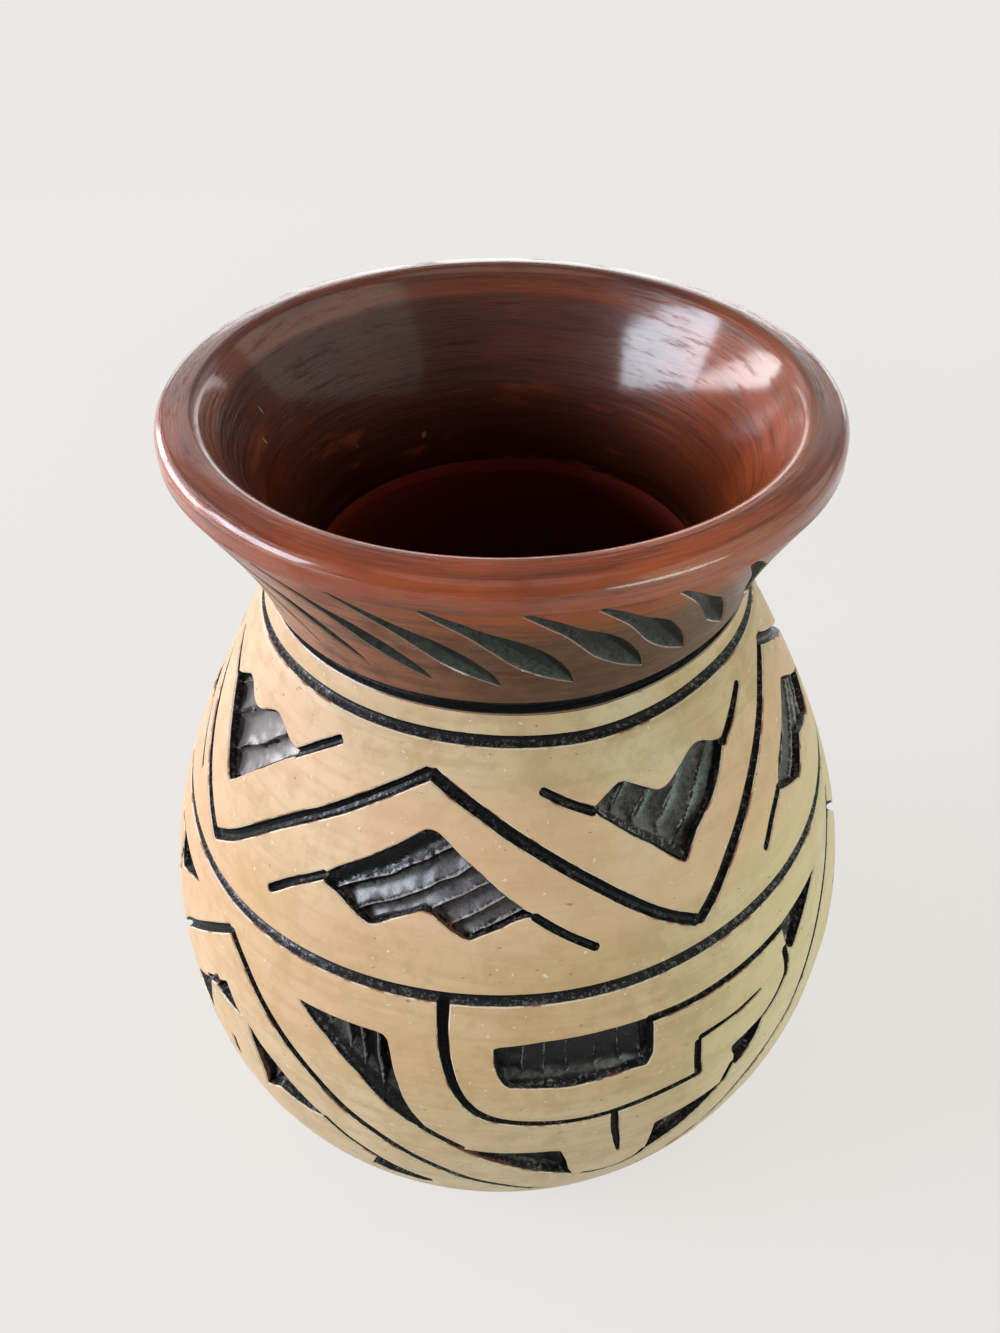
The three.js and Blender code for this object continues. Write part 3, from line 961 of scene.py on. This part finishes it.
def handShape(piece):
    # Notes how deep each point is cut and which ones lie inside, then moves the points a little
    mesh = piece.data
    places, radius, angle, outerAt, within = meshPlaces(mesh)
    slope = np.interp(places[:, 2], outside[:, 1], outSlope)
    cut = np.clip((outerAt - radius) / np.hypot(1, slope), 0, None) * (1 - within)
    cut[places[:, 2] > lipHeight - member["touch"]] = 0
    for name, values in (("cut", cut), ("within", within), ("crest", crestAt(mesh, places, cut))):
        layer = mesh.attributes.new(name, "FLOAT", "POINT")
        layer.data.foreach_set("value", values.astype(np.float32))
    for index in range(len(places)):
        push = hand["wobble"] * (noise.noise(Vector(places[index]) * hand["wobbleScale"]) - 1) / 2
        places[index, :2] *= 1 + push / max(radius[index], 1)
    places[:, 0] += np.interp(places[:, 2], leanHeights, leanCurve)
    mesh.vertices.foreach_set("co", (places * mm).ravel())
    mesh.update()
    for face in mesh.polygons:
        face.use_smooth = True
    mesh.set_sharp_from_angle(angle=math.radians(member["sharp"]))


for piece in (bowl, wall, collar, neck, rim, disc):
    handShape(piece)


# Finishes

class Wire:
    # One value of a material, so that shader maths reads as sums
    def __init__(self, finish, socket):
        self.finish, self.socket = finish, socket

    def maths(self, kind, *values):
        return self.finish.node("ShaderNodeMath", {"operation": kind}, dict(enumerate(values)))

    def __add__(self, other):
        return self.maths("ADD", self, other)

    def __sub__(self, other):
        return self.maths("SUBTRACT", self, other)

    def __rsub__(self, other):
        return self.maths("SUBTRACT", other, self)

    def __mul__(self, other):
        return self.maths("MULTIPLY", self, other)

    def __pow__(self, other):
        return self.maths("POWER", self, other)

    __radd__, __rmul__ = __add__, __mul__


class Finish:
    # A material or world in the making
    def __init__(self, name, tree=None):
        self.material = None
        if tree is None:
            self.material = bpy.data.materials.new(name)
            self.material.use_nodes = True
            tree = self.material.node_tree
        self.tree = tree
        self.tree.nodes.clear()
        self.place = None

    def node(self, kind, settings=None, sockets=None, output=0):
        made = self.tree.nodes.new(kind)
        for name, value in (settings or {}).items():
            setattr(made, name, value)
        for name, value in (sockets or {}).items():
            socket = made.inputs[name]
            if isinstance(value, Wire):
                self.tree.links.new(value.socket, socket)
            elif hasattr(socket.default_value, "__len__") and len(value) < len(socket.default_value):
                socket.default_value = (*value, 1)
            else:
                socket.default_value = value
        return Wire(self, made.outputs[output])

    def objectPlace(self):
        if self.place is None:
            self.place = self.node("ShaderNodeTexCoord", {}, {}, "Object")
        return self.place

    def mix(self, share, low, high):
        return self.node("ShaderNodeMix", {"data_type": "RGBA"}, {0: share, 6: low, 7: high}, 2)

    def blend(self, share, low, high):
        return self.node("ShaderNodeMix", {}, {0: share, 2: low, 3: high})

    def ramp(self, value, low, high):
        # 0 at low and 1 at high, smooth between and level beyond
        return self.node(
            "ShaderNodeMapRange",
            {"interpolation_type": "SMOOTHSTEP"},
            {"Value": value, "From Min": low, "From Max": high},
        )

    def veil(self, base, mask, colour, low, high, share=1):
        # A colour laid over a base as the mask goes from low to high
        shown = self.ramp(mask, low, high)
        return self.mix(shown if share == 1 else shown * share, base, colour)

    def noise(self, scale, detail=3.0, rough=0.5, vector=None, fourth=None):
        sockets = {"Vector": vector or self.objectPlace(), "Scale": scale}
        sockets.update({"Detail": detail, "Roughness": rough})
        if fourth:
            sockets["W"] = fourth
        return self.node("ShaderNodeTexNoise", {"noise_dimensions": "4D" if fourth else "3D"}, sockets)

    def noises(self, look, *names):
        return [self.noise(*look[name]) for name in names]

    def attribute(self, name):
        return self.node("ShaderNodeAttribute", {"attribute_name": name}, {}, "Fac")

    def faces(self, name):
        # How far the surface looks along one of the world's axes
        normal = self.node("ShaderNodeNewGeometry", {}, {}, "Normal")
        return self.node("ShaderNodeSeparateXYZ", {}, {"Vector": normal}, name)

    def axis(self, name):
        return self.node("ShaderNodeSeparateXYZ", {}, {"Vector": self.objectPlace()}, name)

    def stretched(self, scale, turn=0.0):
        # Object places squeezed along the axes, so that a noise on them runs in strokes
        sockets = {"Vector": self.objectPlace(), "Scale": scale, "Rotation": (0, math.radians(turn), 0)}
        return self.node("ShaderNodeMapping", {}, sockets)

    def bump(self, height, strength, reach, normal=None):
        sockets = {"Strength": strength, "Distance": reach, "Height": height}
        if normal:
            sockets["Normal"] = normal
        return self.node("ShaderNodeBump", {}, sockets)

    def done(self, shader, kind="ShaderNodeOutputMaterial"):
        end = self.tree.nodes.new(kind)
        self.tree.links.new(shader.socket, end.inputs["Surface"])
        return self.material


def linear(red, green, blue):
    # A colour as a picture shows it, in the values that a shader takes
    parts = [part / 255 for part in (red, green, blue)]
    return tuple(((part + 0.055) / 1.055) ** 2.4 if part > 0.04 else part / 12.92 for part in parts)


creamLook = {
    "main": linear(213, 177, 136),
    "tan": linear(211, 157, 112),
    # sunny is painted light on the shoulder and khaki painted greenish light from the right
    "sunny": linear(244, 188, 154),
    "khaki": linear(236, 214, 168),
    # edge is a painted highlight along the cuts
    "edge": linear(240, 222, 196),
    "bareClay": linear(150, 84, 62),
    "soot": linear(13, 12, 13),
    # Grey of ashes together with painted light on cuts that face up or left; the crest colour is a painted
    # highlight
    "ashAndLight": linear(96, 87, 87),
    "crest": linear(196, 184, 182),
    "inside": linear(130, 48, 34),
    # Noises: scale, detail and roughness
    "patches": (11, 2),
    "clouds": (34, 3),
    "reds": (70, 2),
    "smudges": (130, 3, 0.6),
    "mottle": (150, 4, 0.65),
    "pits": (390, 1, 0.5),
    "specks": (620, 1),
    "grain": (800, 3, 0.7),
    "fine": (2300, 2, 0.6),
    "brush": (1.0, 4, 0.6),
    "brushStretch": (46, 46, 460),
    "brushTurn": 3,
    "pitStretch": (1, 1, 2.2),
    # Veils: colour, where the mask lets it in, where it is full, and the share that shows
    "pale": (linear(223, 191, 153), 0.36, 0.66),
    "rosy": (linear(214, 174, 142), 0.45, 0.62, 0.6),
    "brushed": (linear(190, 156, 114), 0.45, 0.65, 0.4),
    "mottled": (linear(190, 156, 114), 0.44, 0.64, 0.55),
    "speck": (linear(240, 224, 200), 0.73, 0.79, 0.7),
    "pit": (linear(140, 104, 74), 0.75, 0.8, 0.7),
    # Metres from which and to which the painted light, the tan, the painted green tint and the painted
    # light on the left pockets come in
    "sunnyFoot": (0.128, 0.138),
    "sunnyTop": (0.168, 0.158),
    "sunnyLeft": (-0.06, -0.025),
    "tanFoot": (0.085, 0.1),
    "tanRight": (0.045, 0.015),
    "khakiLeft": (0.035, 0.075),
    "khakiTop": (0.15, 0.13),
    "leftPockets": (-0.031, -0.045),
    # Depths in mm at which a cut's edge, blackened clay, crests and floor begin and are full
    "edgeDepth": (0.03, 0.14),
    "sunkDepth": (0.24, 0.42),
    "crestDepth": (0.9, 1.5),
    "floorDepth": (1.9, 2.6),
}


def creamSlip():
    finish, look = Finish("creamSlip"), creamLook
    cut, crest, within = (finish.attribute(name) for name in ("cut", "crest", "within"))
    right, height = finish.axis("X"), finish.axis("Z")
    patches, clouds, reds, smudges = finish.noises(look, "patches", "clouds", "reds", "smudges")
    mottle, specks, grain, fine = finish.noises(look, "mottle", "specks", "grain", "fine")
    pits = finish.noise(*look["pits"], finish.stretched(look["pitStretch"]))
    brush = finish.noise(*look["brush"], finish.stretched(look["brushStretch"], look["brushTurn"]))

    slip = finish.veil(look["main"], clouds, *look["pale"])
    slip = finish.veil(slip, patches, *look["rosy"])
    slip = finish.veil(slip, brush, *look["brushed"])
    slip = finish.veil(slip, mottle, *look["mottled"])

    # Painted light makes the slip lighter half way up the shoulder; under the neck it stays darker as a
    # painted shadow of the rim, and the far left is left out; it is browner under the middle ring; painted
    # greenish light from the right turns it khaki there
    high = finish.ramp(height, *look["sunnyFoot"])
    sunny = finish.ramp(right + (patches - 0.5) * 0.05, *look["sunnyLeft"])
    sunny = sunny * finish.ramp(height, *look["sunnyTop"])
    brown = finish.ramp(height, *look["tanFoot"]) * finish.ramp(right, *look["tanRight"])
    tone = finish.mix(high, look["tan"], look["sunny"])
    slip = finish.mix(finish.blend(high, brown * 0.35, sunny * 0.4), slip, tone)
    greener = finish.ramp(right, *look["khakiLeft"]) * finish.ramp(height, *look["khakiTop"])
    slip = finish.mix(greener * 0.5, slip, look["khaki"])
    slip = finish.veil(slip, specks, *look["speck"])
    slip = finish.veil(slip, pits, *look["pit"])
    # A painted highlight runs along each cut's edge, with bare red clay in patches where the slip is
    # chipped
    edge = finish.veil(look["edge"], smudges, look["bareClay"], 0.5, 0.6)
    slip = finish.veil(slip, cut + (fine - 0.5) * 0.1, edge, *look["edgeDepth"], 0.75)

    # Ash and painted light make the cuts grey where they face up or towards the window lamp at the left,
    # and the crests between scoops carry a painted highlight
    floor = finish.ramp(cut, *look["floorDepth"])
    upward = finish.faces("Z")
    glint = finish.ramp(upward, 0.45, 0.85) * (0.3 + finish.ramp(grain * 0.6 + fine * 0.4, 0.5, 0.6) * 0.8)
    facing = finish.blend(floor, glint, finish.ramp(upward, 0.0, 0.8))
    leftward = finish.ramp(finish.faces("X") * -1, 0.2, 0.65)
    leftward = leftward * finish.ramp(right, *look["leftPockets"]) * floor
    ashAndLight = finish.ramp(grain * 0.6 + smudges * 0.5 + facing * 0.35 + leftward * 0.5, 0.68, 1.0)
    smoke = finish.mix(ashAndLight, look["soot"], look["ashAndLight"])
    # Painted highlight on the crests between scoops
    crestHighlight = finish.ramp(crest + (grain - 0.5) * 0.5 + (smudges - 0.5) * 0.3, 0.08, 0.3)
    smoke = finish.mix(crestHighlight * finish.ramp(cut, *look["crestDepth"]) * 0.6, smoke, look["crest"])
    redCrest = finish.ramp(reds, 0.62, 0.72) * finish.ramp(crest, 0.02, 0.2)
    smoke = finish.mix(redCrest * 0.7, smoke, look["bareClay"])

    sunk = finish.ramp(cut + (grain - 0.5) * 0.35, *look["sunkDepth"])
    colour = finish.mix(within, finish.mix(sunk, slip, smoke), look["inside"])
    normal = finish.bump(brush * 0.6 + mottle * 0.4, 0.35, 0.0005)
    sockets = {
        "Base Color": colour,
        "Roughness": 0.5 + mottle * 0.1 - sunk * 0.12 + within * 0.15,
        "Normal": finish.bump((grain + fine * 0.5 + smudges) * sunk, 0.85, 0.001, normal),
        "Specular IOR Level": 0.15,
        "Coat Weight": finish.blend(sunk, 0.3, facing + leftward * 0.25 + ashAndLight * 0.2) * (1 - within),
        "Coat Roughness": 0.3,
    }
    return finish.done(finish.node("ShaderNodeBsdfPrincipled", {}, sockets))


redLook = {
    "main": linear(140, 58, 24),
    "neck": linear(150, 84, 58),
    "neckDark": linear(66, 38, 26),
    # olive is painted greenish light, dark painted shade at the back, inside painted shade in the neck and
    # the brown of the lip's top, deep a painted shadow down the throat
    "olive": linear(84, 58, 40),
    "dark": linear(64, 28, 15),
    "inside": linear(62, 24, 14),
    "deep": linear(20, 4, 3),
    "soot": linear(16, 16, 16),
    "ashAndLight": linear(74, 73, 70),
    # edge is a painted highlight along cut edges, also used as painted light on the far left of the neck
    "edge": linear(190, 148, 122),
    "scratch": linear(176, 140, 110),
    # Noises: scale, detail and roughness
    "clouds": (24, 3),
    "mottle": (150, 3, 0.6),
    "grain": (800, 3, 0.65),
    "fine": (2300, 2, 0.6),
    "scratches": (1.0, 1, 0.5),
    "scratchStretch": (420, 420, 60),
    # Strokes of the burnisher: scale round the vase, scale across them, detail and roughness
    "scrapes": (90, 520, 4, 0.7),
    "streaks": (30, 480, 5, 0.62),
    "strokes": (48, 170, 3, 0.5),
    # Veils: colour, where the mask lets it in, where it is full, and the share that shows
    "cloudy": (linear(178, 80, 36), 0.36, 0.66),
    "streaky": (linear(64, 28, 15), 0.44, 0.68, 0.65),
    "stroked": (linear(178, 80, 36), 0.58, 0.75, 0.35),
    # crest is a painted highlight on the crests in the gouges
    "crest": (linear(140, 120, 102), 0.12, 0.4, 0.6),
    # Metres from which and to which a tone, a painted light or a painted shade comes in
    "neckTop": (0.205, 0.219),
    "throatTop": (0.178, 0.218),
    "lipFoot": (0.207, 0.214),
    "ashFoot": (0.185, 0.191),
    "oliveRight": (-0.045, 0.012),
    "darkBack": (0.02, 0.07),
    "oliveLip": (0.02, 0.07),
    "paleLeft": (-0.03, -0.055),
    "brightInside": (0.015, 0.05),
    "dullInside": (0.01, -0.03),
    "brownLip": (0.04, -0.04),
    "scratchLeft": (-0.015, -0.035),
    # Depths in mm at which a cut's edge and blackened clay begin and are full
    "edgeDepth": (0.03, 0.12),
    "sunkDepth": (0.18, 0.36),
}


def redSlip():
    finish, look = Finish("redSlip"), redLook
    cut, crest, within = (finish.attribute(name) for name in ("cut", "crest", "within"))
    right, back, height = (finish.axis(name) for name in "XYZ")
    radius = ((right - hand["lean"][-1][1] * mm) ** 2 + back**2) ** 0.5
    clouds, mottle, grain, fine = finish.noises(look, "clouds", "mottle", "grain", "fine")
    upward = finish.faces("Z")

    def burnished(name):
        # Strokes that run round the vase, at whatever radius they lie
        along, across, detail, rough = look[name]
        return finish.noise(1.0, detail, rough, finish.stretched((along, along, across)), radius * across)

    scrapes, streaks, strokes = (burnished(name) for name in ("scrapes", "streaks", "strokes"))
    scratches = finish.noise(*look["scratches"], finish.stretched(look["scratchStretch"]))

    # Red on the lip; brown low on the neck, turned olive at the right by painted greenish light; painted
    # shade inside the neck, less of it at the right; a painted shadow nearly black down the throat, which
    # also loses its gloss
    slip = finish.veil(look["main"], clouds, *look["cloudy"])
    low = (1 - finish.ramp(height, *look["neckTop"])) * (1 - within)
    brown = finish.veil(look["neck"], right + (clouds - 0.5) * 0.05, look["olive"], *look["oliveRight"])
    slip = finish.mix(low * 0.9, slip, finish.veil(brown, mottle, look["neckDark"], 0.42, 0.68, 0.8))
    insideShade = within * (0.75 - finish.ramp(right, *look["brightInside"]) * 0.5)
    slip = finish.mix(insideShade, slip, look["inside"])
    throat = within * (1 - finish.ramp(height, *look["throatTop"]))
    slip = finish.mix(throat * 0.95, slip, look["deep"])
    slip = finish.veil(slip, streaks, *look["streaky"])
    slip = finish.veil(slip, strokes, *look["stroked"])

    # Painted shade darkens the back, painted greenish light makes the outside olive at the right, painted
    # light makes the far left of the low neck paler, and the top of the lip is browner
    slip = finish.veil(slip, back, look["dark"], *look["darkBack"], 0.55)
    slip = finish.mix(finish.ramp(right, *look["oliveLip"]) * (1 - within) * 0.5, slip, look["olive"])
    slip = finish.mix(finish.ramp(right, *look["paleLeft"]) * low * 0.4, slip, look["edge"])
    lipTop = finish.ramp(upward, 0.2, 0.7) * finish.ramp(height, *look["lipFoot"])
    slip = finish.mix(lipTop * finish.ramp(right - back, *look["brownLip"]) * 0.5, slip, look["inside"])
    scratched = finish.ramp(scratches, 0.76, 0.79) * within * finish.ramp(right, *look["scratchLeft"])
    slip = finish.mix(scratched, slip, look["scratch"])
    # A painted highlight along each cut's edge
    slip = finish.veil(slip, cut + (fine - 0.5) * 0.1, look["edge"], *look["edgeDepth"], 0.5)

    # The gouges are blackened. Ash and painted light make them grey where they face up, and their crests
    # carry a painted highlight
    ashAndLight = finish.ramp(grain * 0.6 + upward * 0.5, 0.22, 0.7) * finish.ramp(height, *look["ashFoot"])
    smoke = finish.mix(ashAndLight, look["soot"], look["ashAndLight"])
    smoke = finish.veil(smoke, crest + (fine - 0.5) * 0.4, *look["crest"])
    sunk = finish.ramp(cut + (grain - 0.5) * 0.2, *look["sunkDepth"])
    colour = finish.mix(sunk, slip, smoke)
    polish = 1 - finish.ramp(scrapes, 0.5, 0.64) * 0.65
    polish = polish * (1 - within * finish.ramp(right, *look["dullInside"]) * 0.55)
    normal = finish.bump(streaks * 0.8 + strokes * 0.7, 0.95, 0.0009)
    rough = 0.24 + finish.ramp(strokes, 0.3, 0.7) * 0.16 + mottle * 0.1 + sunk * 0.15 + throat * 0.3
    sockets = {
        "Base Color": colour,
        "Roughness": rough,
        "Normal": finish.bump((grain + fine * 0.5) * sunk, 0.45, 0.0006, normal),
        "Specular IOR Level": 0.3,
        "Coat Weight": (1 - sunk) * (0.2 + finish.ramp(upward, -0.4, 0.1) * 0.8) * polish,
        "Coat Roughness": 0.13,
    }
    glossy = finish.node("ShaderNodeBsdfPrincipled", {}, sockets)
    dull = finish.node("ShaderNodeBsdfDiffuse", {}, {"Color": colour})
    return finish.done(finish.node("ShaderNodeMixShader", {}, {0: throat, 1: glossy, 2: dull}))


clayLook = {
    "main": linear(140, 78, 56),
    "clouds": (45, 3),
    "grain": (700, 3, 0.65),
    "dark": (linear(104, 54, 38), 0.4, 0.65),
    "smoked": (linear(46, 34, 30), 0.72, 0.85, 0.7),
}


def bareClay():
    # The foot is left unslipped, a little smoked from the firing
    finish, look = Finish("bareClay"), clayLook
    clouds, grain = finish.noises(look, "clouds", "grain")
    colour = finish.veil(look["main"], clouds, *look["dark"])
    colour = finish.veil(colour, clouds + grain * 0.3, *look["smoked"])
    sockets = {
        "Base Color": finish.mix(finish.attribute("within"), colour, creamLook["inside"]),
        "Roughness": 0.78 + grain * 0.1,
        "Normal": finish.bump(grain + clouds * 0.5, 0.4, 0.0004),
        "Specular IOR Level": 0.25,
    }
    return finish.done(finish.node("ShaderNodeBsdfPrincipled", {}, sockets))


cream, red, bare = creamSlip(), redSlip(), bareClay()
for piece, node, finish, slot in (
    (disc, "base_disc", bare, "bare_clay"),
    (bowl, "lower_bowl", cream, "cream_slip"),
    (wall, "shoulder", cream, "cream_slip"),
    (collar, "collar_coil", cream, "cream_slip"),
    (neck, "neck", red, "red_slip"),
    (rim, "rim_coil", red, "red_slip"),
):
    piece.data.materials.clear()
    piece.data.materials.append(finish)
    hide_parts(node)
    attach(piece, "root")
    print("finished", piece.name)


# Floor, light and camera

studioLook = {
    "seen": linear(235, 231, 228),  # what the camera and reflections see
    "seenNear": linear(253, 248, 246),  # the same beside the vase, where the floor also takes its shadow
    "floorClay": linear(189, 195, 188),  # what bounces light back at the vase
    "shadowShare": 0.3,
    "shadowReach": (0.4, 1.1),  # metres from the vase over which the lit floor fades out
    "worldStrength": 0.22,
    "skyInGloss": 0.1,
    "floorSize": 6,
    "lampTarget": (0, 0, 0.15),
}


def pathShare(finish, glossShare=1.0):
    # 1 for rays from the camera, a share for reflections, 0 for light that bounces about
    direct, gloss, through = (
        finish.node("ShaderNodeLightPath", {}, {}, name)
        for name in ("Is Camera Ray", "Is Glossy Ray", "Is Transmission Ray")
    )
    return direct.maths("MINIMUM", direct + (gloss + through) * glossShare, 1)


def paleFloor():
    finish = Finish("paleFloor")
    plain = finish.node("ShaderNodeBsdfDiffuse", {}, {"Color": studioLook["floorClay"]})
    far = finish.ramp((finish.axis("X") ** 2 + finish.axis("Y") ** 2) ** 0.5, *studioLook["shadowReach"])
    seen = finish.mix(far, studioLook["seenNear"], studioLook["seen"])
    shown = finish.node("ShaderNodeEmission", {}, {"Color": seen})
    glow = pathShare(finish) * (1 - (1 - far) * studioLook["shadowShare"])
    shape = bmesh.new()
    bmesh.ops.create_grid(shape, x_segments=1, y_segments=1, size=studioLook["floorSize"])
    floor = finishedMesh("floor", shape, scene.collection)
    shader = finish.node("ShaderNodeMixShader", {}, {0: glow, 1: plain, 2: shown})
    floor.data.materials.append(finish.done(shader))


def paleSky():
    scene.world = bpy.data.worlds.new("studio")
    scene.world.use_nodes = True
    finish = Finish("sky", scene.world.node_tree)
    strength = finish.blend(pathShare(finish, studioLook["skyInGloss"]), studioLook["worldStrength"], 1)
    light = finish.node("ShaderNodeBackground", {}, {"Color": studioLook["seen"], "Strength": strength})
    finish.done(light, "ShaderNodeOutputWorld")


def areaLight(name, azimuth, elevation, distance, width, height, power, colour, shape="ELLIPSE"):
    # Azimuth is measured round from the front, towards the viewer's right
    turn, climb = math.radians(azimuth), math.radians(elevation)
    way = Vector((math.sin(turn) * math.cos(climb), -math.cos(turn) * math.cos(climb), math.sin(climb)))
    lamp = bpy.data.lights.new(name, "AREA")
    lamp.shape, lamp.size, lamp.size_y = shape, width, height
    lamp.energy, lamp.color = power, colour
    holder = bpy.data.objects.new(name, lamp)
    holder.location = Vector(studioLook["lampTarget"]) + way * distance
    holder.rotation_euler = (-way).to_track_quat("-Z", "Y").to_euler()
    scene.collection.objects.link(holder)


lamps = (  # azimuth, elevation, distance, width, height, power, colour and shape
    ("window", -80, 20, 2.2, 1.5, 0.85, 55, (0.8, 0.88, 1), "RECTANGLE"),
    ("backWindow", -118, 7, 2.4, 1.5, 0.7, 34, (1, 0.95, 0.98), "RECTANGLE"),
    ("backLeft", -160, 25, 3, 1.3, 1.2, 3, (1, 0.96, 1)),
    ("backRight", 158, 22, 3, 1.3, 1.1, 1.5, (1, 1, 0.98)),
    ("back", 176, 4, 3, 4.4, 1.3, 32, (1, 0.98, 0.97)),
    ("fill", 85, 28, 3, 5, 2.7, 28, (0.92, 1, 0.86)),
    ("above", 0, 80, 1.8, 1.6, 1.6, 4.5, (1, 0.95, 0.88)),
    ("grass", 50, 3, 2.4, 1.7, 0.5, 20, (0.72, 1, 0.88)),
    ("lawn", -60, 2, 2.4, 1.6, 0.4, 4, (0.7, 1, 0.72)),
)
photoCamera = {
    "place": (-0.00125, -0.24174, 0.34787),
    "pitch": 39.97,  # degrees below level
    "roll": 0.2,
    "lens": 32.58,
    "shift": -0.00195,
    "nearest": 0.01,
}


def camera():
    lens = bpy.data.cameras.new("camera")
    lens.lens, lens.shift_x = photoCamera["lens"], photoCamera["shift"]
    lens.clip_start = photoCamera["nearest"]
    holder = bpy.data.objects.new("camera", lens)
    pitch = Matrix.Rotation(math.radians(90 - photoCamera["pitch"]), 4, "X")
    roll = Matrix.Rotation(math.radians(photoCamera["roll"]), 4, "Z")
    holder.matrix_world = Matrix.Translation(photoCamera["place"]) @ pitch @ roll
    scene.collection.objects.link(holder)
    scene.camera = holder


print("floor, light and camera")
paleFloor()
paleSky()
for lamp in lamps:
    areaLight(*lamp)
camera()
scene.view_settings.view_transform = "Standard"
